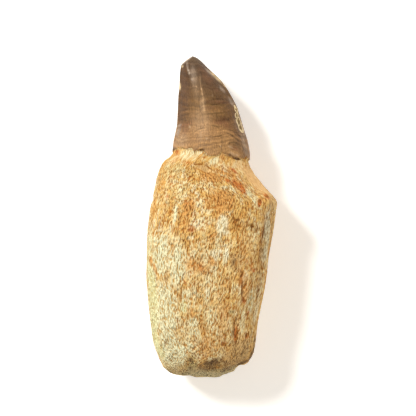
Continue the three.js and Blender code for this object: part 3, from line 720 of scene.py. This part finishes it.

# Growth lines and cracks of the crown's upper face, and three pale lines along its ridges that are a painted
# sheen:
# where each begins, passes and ends (across, along), its half-width, and how much it darkens or lightens the
# enamel
CROWN_LINES = (
    ("ridge by the right facet", (-4.1, 49.0), (-3.4, 43.5), (-2.4, 38.0), 0.2, 1.4),
    ("ridge, lower", (-2.3, 37.2), (-1.9, 32.0), (-2.2, 27.5), 0.3, 1.22),
    ("ridge by the left facet", (-7.6, 50.5), (-6.9, 46.0), (-6.7, 41.5), 0.22, 1.22),
    ("growth line, upper", (0.0, 39.5), (2.4, 39.7), (6.3, 39.6), 0.4, 0.66),
    ("growth line, second", (-0.6, 37.8), (1.0, 37.7), (2.3, 37.8), 0.32, 0.66),
    ("growth line, second, right", (2.5, 38.2), (4.3, 38.5), (6.9, 38.5), 0.25, 0.78),
    ("growth line, short", (0.5, 44.0), (1.7, 44.2), (3.0, 44.2), 0.3, 0.8),
    ("growth line, faint", (-1.8, 37.2), (0.4, 37.0), (3.3, 37.0), 0.2, 0.84),
    ("growth line, rising", (-5.1, 34.2), (-4.2, 35.0), (-3.0, 35.4), 0.3, 0.74),
    ("growth line, third", (-1.2, 34.5), (1.5, 34.8), (7.3, 35.5), 0.36, 0.62),
    ("left line, upper", (-10.5, 36.0), (-8.9, 36.2), (-6.9, 36.8), 0.25, 0.66),
    ("left line, light", (-10.7, 35.2), (-8.9, 35.4), (-6.9, 35.8), 0.25, 1.3),
    ("left line, middle", (-10.8, 34.2), (-8.9, 34.5), (-6.7, 34.9), 0.25, 0.66),
    ("left line, lower", (-10.8, 32.9), (-8.9, 33.2), (-6.7, 33.6), 0.22, 0.7),
    ("left line, lowest", (-11.3, 30.0), (-9.3, 30.5), (-7.1, 31.0), 0.2, 0.82),
    ("left arch, dark", (-6.3, 27.8), (-4.1, 29.4), (-1.4, 29.9), 0.25, 0.72),
    ("left arch, light", (-6.1, 27.3), (-3.9, 28.8), (-1.2, 29.3), 0.22, 1.28),
    ("edge of the right patch", (2.2, 31.3), (2.5, 30.7), (2.8, 29.7), 0.3, 0.74),
    ("arch, dark", (0.2, 30.7), (1.5, 30.4), (2.7, 29.6), 0.35, 0.62),
    ("great arch, upper", (3.7, 29.4), (7.9, 28.5), (10.5, 25.8), 0.22, 0.62),
    ("great arch, light", (3.3, 28.9), (7.3, 27.9), (10.0, 24.9), 0.26, 1.32),
    ("great arch, dark", (4.1, 28.2), (7.4, 27.2), (9.6, 24.7), 0.26, 0.6),
    ("great arch, lower light", (4.5, 27.5), (7.2, 26.6), (9.2, 24.4), 0.22, 1.25),
    ("great arch, outer", (8.5, 27.9), (10.0, 26.3), (11.1, 23.7), 0.2, 1.35),
    ("flank line", (10.8, 26.9), (11.5, 24.8), (12.1, 22.2), 0.26, 1.4),
    ("flank line, inner", (9.8, 25.6), (10.7, 23.7), (11.3, 21.1), 0.22, 0.66),
    ("blotch, outline", (5.9, 24.4), (7.5, 25.0), (9.7, 23.4), 0.42, 0.46),
    ("blotch, second line", (7.2, 24.0), (8.4, 24.0), (9.4, 23.1), 0.25, 0.74),
    ("blotch, under it", (5.1, 22.8), (7.2, 22.5), (9.2, 21.7), 0.22, 0.82),
    ("inner line", (-0.6, 26.6), (1.8, 26.8), (3.8, 27.3), 0.32, 0.6),
    ("inner line, lower", (-0.2, 24.9), (0.8, 25.0), (1.9, 24.8), 0.2, 0.82),
    ("low arch", (0.1, 23.4), (1.8, 23.8), (3.5, 22.7), 0.24, 0.74),
    ("small arch", (0.1, 22.5), (0.7, 22.1), (1.1, 21.6), 0.25, 0.7),
    ("low line", (-5.1, 24.0), (-2.5, 24.2), (0.2, 24.1), 0.2, 0.82),
    ("left arch", (-8.1, 23.4), (-7.2, 25.6), (-5.8, 27.1), 0.22, 0.8),
    ("left arch, inner", (-5.9, 23.6), (-5.1, 25.9), (-3.5, 27.1), 0.2, 0.84),
    ("crack", (3.7, 27.5), (3.6, 24.5), (3.6, 21.8), 0.17, 0.55),
    ("upper crack", (1.8, 34.6), (1.9, 33.4), (1.8, 31.6), 0.26, 0.66),
)

# The enamel's growth lines bow away from the root on both sides of a middle, and run round mounds
GROWTH_BOW, GROWTH_MIDDLE = 0.012, -2
GROWTH_MOUNDS = (
    # across, along, half-width, how far the lines bend
    (6.9, 22.4, 3.4, 6.5),
    (0.4, 20.8, 3.2, 4.0),
    (-5.5, 20.5, 4.0, 2.6),
)

# How far a mark has faded at its edge, and how sharply it does
MARK_FALL, MARK_SHOULDER = 0.7, 1.5
# A mark also fades above and below its middle, over this many times its half-size and 1 mm more
UPRIGHT_REACH = 1.5
# Near the outline both faces are as close to the place named, so height decides between them
FACE_CHOICE = 0.02


def marked(points, face, listed):
    """The listed ovals' strengths at their middles, falling smoothly to 0 around them. face is 1 for the
    upper face and -1 for the lower one."""
    x, y, z = np.moveaxis(points, -1, 0)
    most = np.zeros(x.shape)
    for _, across, along, length, width, turn, strength in listed:
        heading = math.radians(turn)
        cos, sin = math.cos(heading), math.sin(heading)
        lengthwise = ((x - across) * cos + (y - along) * sin) / length
        sideways = ((y - along) * cos - (x - across) * sin) / width
        middle = np.argmin((x - across) ** 2 + (y - along) ** 2 - FACE_CHOICE * face * z)
        reach = UPRIGHT_REACH * (width * abs(sin) + length * abs(cos)) + 1
        upright = (z - z.flat[middle]) / reach
        away = lengthwise ** 2 + sideways ** 2 + upright ** 2
        most = np.maximum(most, strength * np.exp(-MARK_FALL * away ** MARK_SHOULDER))
    return most


def growth(points):
    """The enamel's growth: its lines run across the crown and arch over the mounds at its foot."""
    x, y, _ = np.moveaxis(points, -1, 0)
    lines = y - GROWTH_BOW * (x - GROWTH_MIDDLE) ** 2
    for across, along, width, bend in GROWTH_MOUNDS:
        lines = lines - bend * np.exp(-((x - across) ** 2 + (y - along) ** 2) / (2 * width ** 2))
    return lines


def tooth_mesh():
    """The tooth's smooth form and broad relief as quads, with what the finish reads at each vertex."""
    points, places, masks = tooth_points()
    masks["growth"] = growth(points)
    for name, listed in MARKS.items():
        masks[name] = np.maximum(marked(points, 1, listed), marked(points, -1, HIDDEN_MARKS.get(name, ())))
    rings = len(points)
    poles = np.array([smooth_points(np.array(float(at)), np.array(0.0)) for at in (0, LAST)])
    vertices = np.vstack([points.reshape(-1, 3), poles])
    column = np.arange(AROUND)
    after = (column + 1) % AROUND
    ring = np.arange(rings - 1)[:, None] * AROUND
    quads = np.stack([ring + column, ring + AROUND + column, ring + AROUND + after, ring + after], axis=-1)
    root_pole, tip = len(vertices) - 2, len(vertices) - 1
    last_ring = (rings - 1) * AROUND
    caps = [(root_pole, a, b) for a, b in zip(column.tolist(), after.tolist())]
    caps += [(tip, last_ring + b, last_ring + a) for a, b in zip(column.tolist(), after.tolist())]
    mesh = bpy.data.meshes.new("tooth_form")
    mesh.from_pydata((vertices * MM).tolist(), [], quads.reshape(-1, 4).tolist() + caps)
    mesh.shade_smooth()

    for name, vectors in places.items():
        vectors = np.vstack([vectors.reshape(-1, 3), poles]).astype(np.float32)
        mesh.attributes.new(name, "FLOAT_VECTOR", "POINT").data.foreach_set("vector", vectors.reshape(-1))
    for name, values in masks.items():
        at_poles = [values[0].mean(), values[-1].mean()]
        values = np.concatenate([values.reshape(-1), at_poles]).astype(np.float32)
        mesh.attributes.new(name, "FLOAT", "POINT").data.foreach_set("value", values)
    return mesh


# ---------------------------------------------------------------------------------------------
# Node helpers
# ---------------------------------------------------------------------------------------------
def colour(code):
    """An sRGB hex colour as linear red, green, blue and alpha."""
    parts = [int(code[i:i + 2], 16) / 255 for i in (0, 2, 4)]
    return (*[c / 12.92 if c <= 0.04045 else ((c + 0.055) / 1.055) ** 2.4 for c in parts], 1)


def add(tree, kind, inputs=(), output=0, stops=(), **settings):
    """Adds a node and returns one of its outputs. inputs are its sockets' values or what feeds them,
    by name or in turn; a hex code is a colour; stops are a ramp's places and colours."""
    node = tree.nodes.new(kind)
    for name, value in settings.items():
        setattr(node, name, value)
    for number, (place, code) in enumerate(stops):
        ramp = node.color_ramp.elements
        stop = ramp[number] if number < len(ramp) else ramp.new(place)
        stop.position = place
        stop.color = colour(code)
    pairs = inputs.items() if isinstance(inputs, dict) else enumerate(inputs)
    for name, value in pairs:
        socket = node.inputs[name]
        if isinstance(value, bpy.types.NodeSocket):
            tree.links.new(value, socket)
        elif isinstance(value, str) and socket.type == "RGBA":
            socket.default_value = colour(value)
        else:
            socket.default_value = value
    return node.outputs[output] if node.outputs else None


def wander(tree, place, scale, detail):
    """Soft random steps to all sides, which change along place."""
    cloud = {"Vector": place, "Scale": scale, "Detail": detail}
    step = add(tree, "ShaderNodeTexNoise", cloud, output="Color")
    return add(tree, "ShaderNodeVectorMath", (step, (0.5, 0.5, 0.5)), operation="SUBTRACT")


def middle_lines(tree, noise, width, on, off):
    """Wandering lines where a noise crosses its middle: on there, off beyond their half-width."""
    away = add(tree, "ShaderNodeMath", (noise, 0.5), operation="SUBTRACT")
    away = add(tree, "ShaderNodeMath", (away,), operation="ABSOLUTE")
    return add(tree, "ShaderNodeMapRange", (away, 0, width, on, off))


# ---------------------------------------------------------------------------------------------
# The root's fibrous and porous texture, shared by its relief and its colour
# ---------------------------------------------------------------------------------------------
TEXTURE = {  # millimetres
    "Granule width": 0.7,
    "Granule length": 1.3,
    "Fibre width": 0.65,
    "Fibre length": 2.8,
    "Flow spacing": 6.0,
    "Flow": 1.8,
    "Calm spacing": 6.0,
}
RELIEF = {  # millimetres
    "Granule relief": 0.4,
    "Fibre relief": 0.4,
    "Sealed share": 0.2,
    "Slot depth": 0.22,
}


def bone_texture(tree, place, fibrous, sizes):
    """The root's granules, drawn out into fibres towards its end: how high they stand, from 0 to 1, and
    a random colour that each of them has for its own."""
    spacing = add(tree, "ShaderNodeCombineXYZ", (sizes["Flow spacing"],) * 3)
    slow = add(tree, "ShaderNodeVectorMath", (place, spacing), operation="DIVIDE")
    drift = wander(tree, slow, 1, 2)
    drift = add(tree, "ShaderNodeVectorMath", {0: drift, "Scale": sizes["Flow"]}, operation="SCALE")
    flowing = add(tree, "ShaderNodeVectorMath", (place, drift), operation="ADD")
    heights, chances = [], []
    for width, length in (("Granule width", "Granule length"), ("Fibre width", "Fibre length")):
        size = add(tree, "ShaderNodeCombineXYZ", (sizes[width], sizes[length], sizes[width]))
        cell = add(tree, "ShaderNodeVectorMath", (flowing, size), operation="DIVIDE")
        distance = add(tree, "ShaderNodeTexVoronoi", {"Vector": cell, "Scale": 1}, output="Distance")
        edge = add(tree, "ShaderNodeTexVoronoi", {"Vector": cell, "Scale": 1}, feature="DISTANCE_TO_EDGE")
        dome = add(tree, "ShaderNodeMapRange", (edge, 0.0, 0.45, 0, 1))
        crooked = add(tree, "ShaderNodeTexNoise", {"Vector": cell, "Scale": 0.8, "Detail": 1})
        ridge = middle_lines(tree, crooked, 0.25, 1, 0)
        heights.append(add(tree, "ShaderNodeMath", (dome, ridge), operation="ADD"))
        chances.append(distance.node.outputs["Color"])
    height = add(tree, "ShaderNodeMix", {0: fibrous, 2: heights[0], 3: heights[1]})
    height = add(tree, "ShaderNodeMath", (height, 0.5), operation="MULTIPLY")
    spacing = add(tree, "ShaderNodeCombineXYZ", (sizes["Calm spacing"],) * 3)
    slow = add(tree, "ShaderNodeVectorMath", (place, spacing), operation="DIVIDE")
    calm = add(tree, "ShaderNodeTexNoise", {"Vector": slow, "Scale": 1, "Detail": 3})
    calm = add(tree, "ShaderNodeMapRange", (calm, 0.45, 0.62, 0, 0.3))
    height = add(tree, "ShaderNodeMix", (calm, (0, 0, 0), height, 0.5))
    chance = add(tree, "ShaderNodeMix", {0: fibrous, 6: chances[0], 7: chances[1]}, 2, data_type="RGBA")
    return height, chance


def relief_tree():
    """Geometry nodes that raise the root's fibres and granules, and give each part its material."""
    tree = bpy.data.node_groups.new("fibrous_relief", "GeometryNodeTree")
    for way in ("INPUT", "OUTPUT"):
        tree.interface.new_socket("Geometry", in_out=way, socket_type="NodeSocketGeometry")
    for name in (*TEXTURE, *RELIEF):
        tree.interface.new_socket(name, in_out="INPUT", socket_type="NodeSocketFloat")
    for name in ("Bone", "Enamel"):
        tree.interface.new_socket(name, in_out="INPUT", socket_type="NodeSocketMaterial")
    given = tree.nodes.new("NodeGroupInput").outputs

    def read(name, kind="FLOAT"):
        return add(tree, "GeometryNodeInputNamedAttribute", {"Name": name}, data_type=kind)

    fibrous, short, sealed = read("fibrous"), read("short"), read("sealed")
    proud, _ = bone_texture(tree, read("flow", "FLOAT_VECTOR"), fibrous, given)
    relief = add(tree, "ShaderNodeMix", (fibrous, (0, 0, 0), given["Granule relief"], given["Fibre relief"]))
    proud = add(tree, "ShaderNodeMath", (proud, 0.4), operation="SUBTRACT")
    height = add(tree, "ShaderNodeMath", (proud, relief), operation="MULTIPLY")
    open_share = add(tree, "ShaderNodeMix", (sealed, (0, 0, 0), 1.0, given["Sealed share"]))
    off_enamel = add(tree, "ShaderNodeMapRange", (short, 0.1, 0.6, 0, 1), interpolation_type="SMOOTHSTEP")
    share = add(tree, "ShaderNodeMath", (open_share, off_enamel), operation="MULTIPLY")
    height = add(tree, "ShaderNodeMath", (height, share), operation="MULTIPLY")
    sunk = add(tree, "ShaderNodeMath", (read("slot"), given["Slot depth"]), operation="MULTIPLY")
    height = add(tree, "ShaderNodeMath", (height, sunk), operation="SUBTRACT")
    metres = add(tree, "ShaderNodeMath", (height, MM), operation="MULTIPLY")
    normal = add(tree, "GeometryNodeInputNormal")
    offset = add(tree, "ShaderNodeVectorMath", {0: normal, "Scale": metres}, operation="SCALE")
    form = add(tree, "GeometryNodeSetPosition", {"Geometry": given["Geometry"], "Offset": offset})
    place = add(tree, "GeometryNodeInputPosition")
    above_table = add(tree, "ShaderNodeVectorMath", (place, (-1, -1, 0)), operation="MAXIMUM")
    form = add(tree, "GeometryNodeSetPosition", {"Geometry": form, "Position": above_table})
    form = add(tree, "GeometryNodeRealizeInstances", (form,))
    form = add(tree, "GeometryNodeSetMaterial", {"Geometry": form, "Material": given["Bone"]})
    on_enamel = add(tree, "FunctionNodeCompare", {0: short, 1: 0.0}, operation="LESS_THAN")
    form = add(tree, "GeometryNodeSetMaterial", {
        "Geometry": form, "Selection": on_enamel, "Material": given["Enamel"]})
    tree.links.new(form, tree.nodes.new("NodeGroupOutput").inputs["Geometry"])
    return tree


def with_relief(mesh, materials):
    """A plain mesh of the form with the relief of the geometry nodes on it."""
    form = bpy.data.objects.new("tooth_form", mesh)
    bpy.context.scene.collection.objects.link(form)
    modifier = form.modifiers.new("relief", "NODES")
    modifier.node_group = relief_tree()
    values = {**TEXTURE, **RELIEF, **materials}
    for item in modifier.node_group.interface.items_tree:
        if item.name in values:
            modifier[item.identifier] = values[item.name]
    evaluated = form.evaluated_get(bpy.context.evaluated_depsgraph_get())
    finished = bpy.data.meshes.new_from_object(evaluated)
    bpy.data.objects.remove(form)
    return finished


# ---------------------------------------------------------------------------------------------
# Materials
# ---------------------------------------------------------------------------------------------
def shader(name):
    """A new material's tree with only its output, for one Principled BSDF to feed."""
    material = bpy.data.materials.new(name)
    material.use_nodes = True
    tree = material.node_tree
    tree.nodes.clear()
    return material, tree


def mineralised_bone():
    """The root: porous bone turned to phosphate stone in the ground and cleaned with a pick, so it is
    matte, pale on its proud fibres and granules, and darker in its gaps, partly stained by iron and clay and
    partly a painted shade of their depth."""
    material, tree = shader("mineralised_bone")

    def read(name, output=2):
        return add(tree, "ShaderNodeAttribute", attribute_name=name, output=output)

    place, fibrous, sealed = read("flow", 1), read("fibrous"), read("sealed")
    proud, chance = bone_texture(tree, place, fibrous, TEXTURE)
    chances = add(tree, "ShaderNodeSeparateXYZ", (chance,)).node.outputs

    def cloud(spacing, length, detail=3, roughness=0.65):
        """Soft noise between 0 and 1, drawn out along the tooth."""
        cell = add(tree, "ShaderNodeVectorMath", (place, (spacing, length, spacing)), operation="DIVIDE")
        return add(tree, "ShaderNodeTexNoise", {
            "Vector": cell, "Scale": 1, "Detail": detail, "Roughness": roughness})

    fray = add(tree, "ShaderNodeMapRange", (cloud(2.2, 6.0, 5, 0.75), 0.3, 0.7, -0.6, 0.6))
    odds = add(tree, "ShaderNodeMath", (chances["Y"], -0.5, 1.05), operation="MULTIPLY_ADD")

    def stain(name, frayed):
        """A stain's strength: it takes some granules whole and leaves others, more of them near its edge."""
        edge = add(tree, "ShaderNodeMath", (fray, frayed, odds), operation="MULTIPLY_ADD")
        edge = add(tree, "ShaderNodeMath", (edge, read(name)), operation="MULTIPLY")
        return add(tree, "ShaderNodeMapRange", (edge, 0.05, 0.7, 0, 1), interpolation_type="SMOOTHSTEP")

    # the bone's pores are about 0.1 mm wide, and strokes of 0.4 mm are the finest grain that shows
    strokes = cloud(0.4, 1.2, 0)
    light = add(tree, "ShaderNodeMath", (strokes, 5.0, proud), operation="MULTIPLY_ADD")
    light = add(tree, "ShaderNodeMapRange", (light, 2.18, 2.97, 0.2, 1))
    # long streaks, darker and lighter, follow the fibres
    streaks = add(tree, "ShaderNodeMapRange", (cloud(0.8, 16, 2), 0.35, 0.65, -0.35, 0.35))
    light = add(tree, "ShaderNodeMath", (streaks, fibrous, light), operation="MULTIPLY_ADD", use_clamp=True)
    thread = middle_lines(tree, cloud(1.5, 14, 2), 0.02, 0.45, 0)
    thread = add(tree, "ShaderNodeMath", (thread, fibrous), operation="MULTIPLY")
    light = add(tree, "ShaderNodeMath", (light, thread), operation="SUBTRACT", use_clamp=True)

    patchy = add(tree, "ShaderNodeMapRange", (cloud(4.5, 9.0, 4), 0.35, 0.65, -0.15, 0.45))
    pale = add(tree, "ShaderNodeMath", (chances["X"], 0.5, patchy), operation="MULTIPLY_ADD")
    grains = add(tree, "ShaderNodeValToRGB", {"Fac": pale}, stops=(
        (0.0, "D69C4E"),
        (0.35, "DEB66C"),
        (0.7, "EBDAA8"),
        (1.0, "EFE8CA"),
    ))
    # the gaps' colours: partly iron and clay stain, partly painted shade in the pits between the granules
    gaps = add(tree, "ShaderNodeMix", {0: pale, 6: "98560A", 7: "B67020"}, 2, data_type="RGBA")
    for name, frayed, on_grains, in_gaps in (
        ("cream", 1.0, "E9E5BC", "BE9246"),
        ("yellow", 1.0, "E5E3B0", "B89A4A"),
        ("ochre", 1.0, "DAA25A", "A05E1C"),
        ("brown", 0.7, "D0AA70", "6C4212"),
        ("olive", 0.7, "C4AC74", "624A1E"),
        ("tan", 0.7, "E6BE84", "C08A4C"),
        ("grey", 1.0, "E9DDB8", "A8844C"),
        ("rust", 0.8, "CC7A36", "843E12"),
        # partly painted shade at the root's end
        ("dark", 0.7, "84643A", "40290F"),
        ("chalk", 0.3, "EFE4BE", "CCAE74"),
        ("slot", 0.2, "A8702C", "5A3410"),
    ):
        mask = stain(name, frayed)
        grains = add(tree, "ShaderNodeMix", {0: mask, 6: grains, 7: on_grains}, 2, data_type="RGBA")
        gaps = add(tree, "ShaderNodeMix", {0: mask, 6: gaps, 7: in_gaps}, 2, data_type="RGBA")
    # the broken end: pale grains and near-black gaps, partly painted shade in its pits
    broken = read("broken")
    grains = add(tree, "ShaderNodeMix", {0: broken, 6: grains, 7: "E6D29C"}, 2, data_type="RGBA")
    gaps = add(tree, "ShaderNodeMix", {0: broken, 6: gaps, 7: "2C1E0E"}, 2, data_type="RGBA")
    # the sealed bone of the neck is evenly pale between its stains
    even = add(tree, "ShaderNodeMapRange", (sealed, 0, 1, 0, 0.4))
    light = add(tree, "ShaderNodeMix", (even, (0, 0, 0), light, 0.75))
    base = add(tree, "ShaderNodeMix", {0: light, 6: gaps, 7: grains}, 2, data_type="RGBA")
    # a thin brown line under the enamel's foot here and there, wider in a few places: partly a crevice and
    # partly painted shadow under the enamel's proud edge
    under_foot = add(tree, "ShaderNodeMapRange", (read("short"), 0.1, 0.4, 0.7, 0))
    opened = add(tree, "ShaderNodeMapRange", (cloud(1.6, 1.6, 2), 0.46, 0.6, 0, 1))
    gaping = stain("crevice_shadow", 0.3)
    crevice_shadow = add(tree, "ShaderNodeMath", (under_foot, opened, gaping), operation="MULTIPLY_ADD")
    base = add(tree, "ShaderNodeMix", {0: crevice_shadow, 6: base, 7: "5A3A1C"}, 2, data_type="RGBA")

    height = add(tree, "ShaderNodeMath", (strokes, 1.2, proud), operation="MULTIPLY_ADD")
    depth = add(tree, "ShaderNodeMapRange", (sealed, 0, 1, 1, 0.3))
    bump = add(tree, "ShaderNodeBump", {"Strength": depth, "Distance": 0.8 * MM, "Height": height})
    surface = add(tree, "ShaderNodeBsdfPrincipled", {
        "Base Color": base, "Roughness": 0.92, "IOR": 1.55, "Specular IOR Level": 0.25, "Normal": bump})
    add(tree, "ShaderNodeOutputMaterial", {"Surface": surface})
    return material


def arc_through(start, middle, end):
    """The centre and radius of the circle through three points, which are never quite in line."""
    (ax, ay), (bx, by), (cx, cy) = start, middle, end
    twice_area = 2 * (ax * (by - cy) + bx * (cy - ay) + cx * (ay - by))
    a, b, c = (x * x + y * y for x, y in (start, middle, end))
    x = (a * (by - cy) + b * (cy - ay) + c * (ay - by)) / twice_area
    y = (a * (cx - bx) + b * (ax - cx) + c * (bx - ax)) / twice_area
    return (x, y), math.hypot(ax - x, ay - y)


def fossil_enamel():
    """The crown: fossil enamel, dense and smooth, worn to a satin sheen, with the bands and arches in
    which it grew, fine crooked cracks, a chipped keel, and a painted sheen in its colour along its ridges
    and right edge."""
    material, tree = shader("fossil_enamel")

    def read(name, output=2):
        return add(tree, "ShaderNodeAttribute", attribute_name=name, output=output)

    wrap, place = read("wrap", 1), read("rest", 1)
    drift = wander(tree, place, 0.35, 2)
    drift = add(tree, "ShaderNodeVectorMath", {0: drift, "Scale": 1.6}, operation="SCALE")
    crooked = add(tree, "ShaderNodeVectorMath", (wrap, drift), operation="ADD")

    def cloud(spacing, length, detail=3):
        """Soft noise between 0 and 1, drawn out along the crown."""
        cell = add(tree, "ShaderNodeVectorMath", (crooked, (spacing, spacing, length)), operation="DIVIDE")
        return add(tree, "ShaderNodeTexNoise", {"Vector": cell, "Scale": 1, "Detail": detail})

    wave = add(tree, "ShaderNodeMath", (cloud(9, 9), 0.5), operation="SUBTRACT")
    grown = add(tree, "ShaderNodeMath", (wave, 5.0, read("growth")), operation="MULTIPLY_ADD")
    along = add(tree, "ShaderNodeMapRange", (grown, 15, 55, 0, 1))
    base = add(tree, "ShaderNodeValToRGB", {"Fac": along}, stops=(
        (0.0, "A27B4E"),
        (0.3, "9A7348"),
        (0.42, "8A663E"),
        (0.55, "76562F"),
        (0.72, "62492F"),
        (0.9, "5C4632"),
        (1.0, "6A553F"),
    ))
    fray = cloud(0.8, 1.6, 4)
    for name, shade in (
        ("dark_enamel", "56391F"),
        ("ruddy_enamel", "7C5236"),
        ("grey_enamel_and_sheen", "A08E7C"),
        # the grey and pale marks are partly a painted sheen along the crown's ridges and edges
        ("pale_enamel_and_sheen", "AC8C68"),
        ("dentine", "C9AF86"),
        # painted shadow under the enamel's proud edge, with its crevices, where it reaches the enamel
        ("crevice_shadow", "4A3018"),
    ):
        edge = add(tree, "ShaderNodeMath", (fray, 2.0), operation="MULTIPLY")
        edge = add(tree, "ShaderNodeMath", (edge, read(name)), operation="MULTIPLY", use_clamp=True)
        base = add(tree, "ShaderNodeMix", {0: edge, 6: base, 7: shade}, 2, data_type="RGBA")

    # what darkens and lightens the enamel: its growth bands, the fine lengthwise wrinkles, which are about
    # 0.1 mm apart and drawn at 0.4 mm so that they show, a grain as fine as that, crooked pale threads, and
    # lengthwise cracks
    bands = add(tree, "ShaderNodeTexNoise", {"W": grown, "Scale": 0.7, "Detail": 3}, noise_dimensions="1D")
    tones = [
        add(tree, "ShaderNodeMapRange", (bands, 0.35, 0.65, 0.78, 1.2)),
        add(tree, "ShaderNodeMapRange", (cloud(0.4, 2.2, 2), 0.3, 0.7, 0.72, 1.28)),
        add(tree, "ShaderNodeMapRange", (cloud(0.4, 0.45, 1), 0.3, 0.7, 0.86, 1.14)),
        middle_lines(tree, cloud(1.3, 2.0, 1), 0.05, 1.2, 1),
        middle_lines(tree, cloud(2.6, 9, 1), 0.02, 0.8, 1),
    ]
    flat = add(tree, "ShaderNodeVectorMath", (wander(tree, place, 0.6, 3), place), operation="ADD")
    flat = add(tree, "ShaderNodeVectorMath", (flat, (1, 1, 0)), operation="MULTIPLY")
    upper = add(tree, "ShaderNodeSeparateXYZ", (place,), "Z")
    upper = add(tree, "ShaderNodeMapRange", (upper, 15, 17, 0, 1))
    # the lines listed above: growth lines and cracks, and a painted sheen along the crown's three ridges
    for _, start, middle, end, width, shade in CROWN_LINES:
        centre, radius = arc_through(start, middle, end)
        reach = math.dist(start, end) / 2
        bent = add(tree, "ShaderNodeVectorMath", (flat, (*centre, 0)), 1, operation="DISTANCE")
        off_line = add(tree, "ShaderNodeMath", (bent, radius), operation="SUBTRACT")
        off_line = add(tree, "ShaderNodeMath", (off_line,), operation="ABSOLUTE")
        onward = add(tree, "ShaderNodeVectorMath", (flat, (*middle, 0)), 1, operation="DISTANCE")
        line = add(tree, "ShaderNodeMapRange", (off_line, width * 0.4, width * 1.2, 1, 0))
        within = add(tree, "ShaderNodeMapRange", (onward, reach * 0.6, reach * 1.15, 1, 0))
        line = add(tree, "ShaderNodeMath", (line, within), operation="MULTIPLY")
        line = add(tree, "ShaderNodeMath", (line, upper), operation="MULTIPLY")
        tones.append(add(tree, "ShaderNodeMapRange", (line, 0, 1, 1, shade)))
    tone = tones[0]
    for other in tones[1:]:
        tone = add(tree, "ShaderNodeMath", (tone, other), operation="MULTIPLY")
    base = add(tree, "ShaderNodeVectorMath", {0: base, "Scale": tone}, operation="SCALE")

    ragged = add(tree, "ShaderNodeMapRange", (cloud(0.9, 0.9), 0.3, 0.7, 0.4, 1.6))
    chip = add(tree, "ShaderNodeMath", (ragged, read("chip")), operation="MULTIPLY")
    rim = add(tree, "ShaderNodeMapRange", (chip, 0.3, 0.4, 0, 1))
    base = add(tree, "ShaderNodeMix", {0: rim, 6: base, 7: "E6CFA2"}, 2, data_type="RGBA")
    inside = add(tree, "ShaderNodeMapRange", (chip, 0.8, 1.1, 0, 1))
    base = add(tree, "ShaderNodeMix", {0: inside, 6: base, 7: "7E6438"}, 2, data_type="RGBA")
    bump = add(tree, "ShaderNodeBump", {"Strength": 1.0, "Distance": 0.12 * MM, "Height": tone})
    surface = add(tree, "ShaderNodeBsdfPrincipled", {
        "Base Color": base, "Roughness": 0.45, "IOR": 1.62, "Specular IOR Level": 0.12, "Normal": bump})
    add(tree, "ShaderNodeOutputMaterial", {"Surface": surface})
    return material


def glowing_paper():
    """The studio's floor: smooth matte white paper, so that it shows no texture of its own. It also glows, a
    painted light that lights the tooth from below and washes out its shadow.
    """
    material, tree = shader("glowing_paper")
    surface = add(tree, "ShaderNodeBsdfPrincipled", {
        "Base Color": "F4F3F0", "Roughness": 0.95, "Emission Color": "FFFFFF", "Emission Strength": 0.35})
    add(tree, "ShaderNodeOutputMaterial", {"Surface": surface})
    return material


finished = with_relief(tooth_mesh(), {"Bone": mineralised_bone(), "Enamel": fossil_enamel()})
finished.name = "tooth_surface"
tooth = bpy.data.objects.new("tooth_surface", finished)
bpy.context.scene.collection.objects.link(tooth)
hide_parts("tooth")
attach(tooth, "root")

# ---------------------------------------------------------------------------------------------
# Studio, in metres
# ---------------------------------------------------------------------------------------------
FLOOR_REACH = 3.0
VIEW_WIDTH = 0.14255
VIEW_CENTRE = (-0.00103, 0.00291)
MIDDLE_HEIGHT = 0.0145
LENS, SENSOR = 135, 36  # millimetres

scene = bpy.context.scene
floor_mesh = bpy.data.meshes.new("floor")
corners = [(x * FLOOR_REACH, y * FLOOR_REACH, 0) for x, y in ((-1, -1), (1, -1), (1, 1), (-1, 1))]
floor_mesh.from_pydata(corners, [], [(0, 1, 2, 3)])
floor_mesh.materials.append(glowing_paper())
floor = bpy.data.objects.new("floor", floor_mesh)
scene.collection.objects.link(floor)

camera_data = bpy.data.cameras.new("camera")
camera_data.lens = LENS
camera_data.sensor_width = SENSOR
camera = bpy.data.objects.new("camera", camera_data)
camera.location = (*VIEW_CENTRE, MIDDLE_HEIGHT + VIEW_WIDTH * LENS / SENSOR)
scene.collection.objects.link(camera)
scene.camera = camera

world = bpy.data.worlds.new("studio")
scene.world = world
world.use_nodes = True
world.node_tree.nodes.clear()
direction = add(world.node_tree, "ShaderNodeTexCoord")
height = add(world.node_tree, "ShaderNodeSeparateXYZ", (direction,), 2)
glow = add(world.node_tree, "ShaderNodeMapRange", (height, 0.0, 0.7, 1.0, 0.4))
background = add(world.node_tree, "ShaderNodeBackground", {"Color": "FFF4E4", "Strength": glow})
add(world.node_tree, "ShaderNodeOutputWorld", {"Surface": background})


def softbox(name, place, size, power):
    """A square soft light that faces the tooth."""
    light = bpy.data.lights.new(name, "AREA")
    light.size = size
    light.energy = power
    lamp = bpy.data.objects.new(name, light)
    lamp.location = place
    lamp.rotation_euler = (-Vector(place)).to_track_quat("-Z", "Y").to_euler()
    scene.collection.objects.link(lamp)


softbox("key", (-0.52, 0.42, 0.78), 0.2, 9.5)
softbox("fill", (0.75, -0.1, 0.4), 0.2, 1.3)
scene.view_settings.view_transform = "Standard"
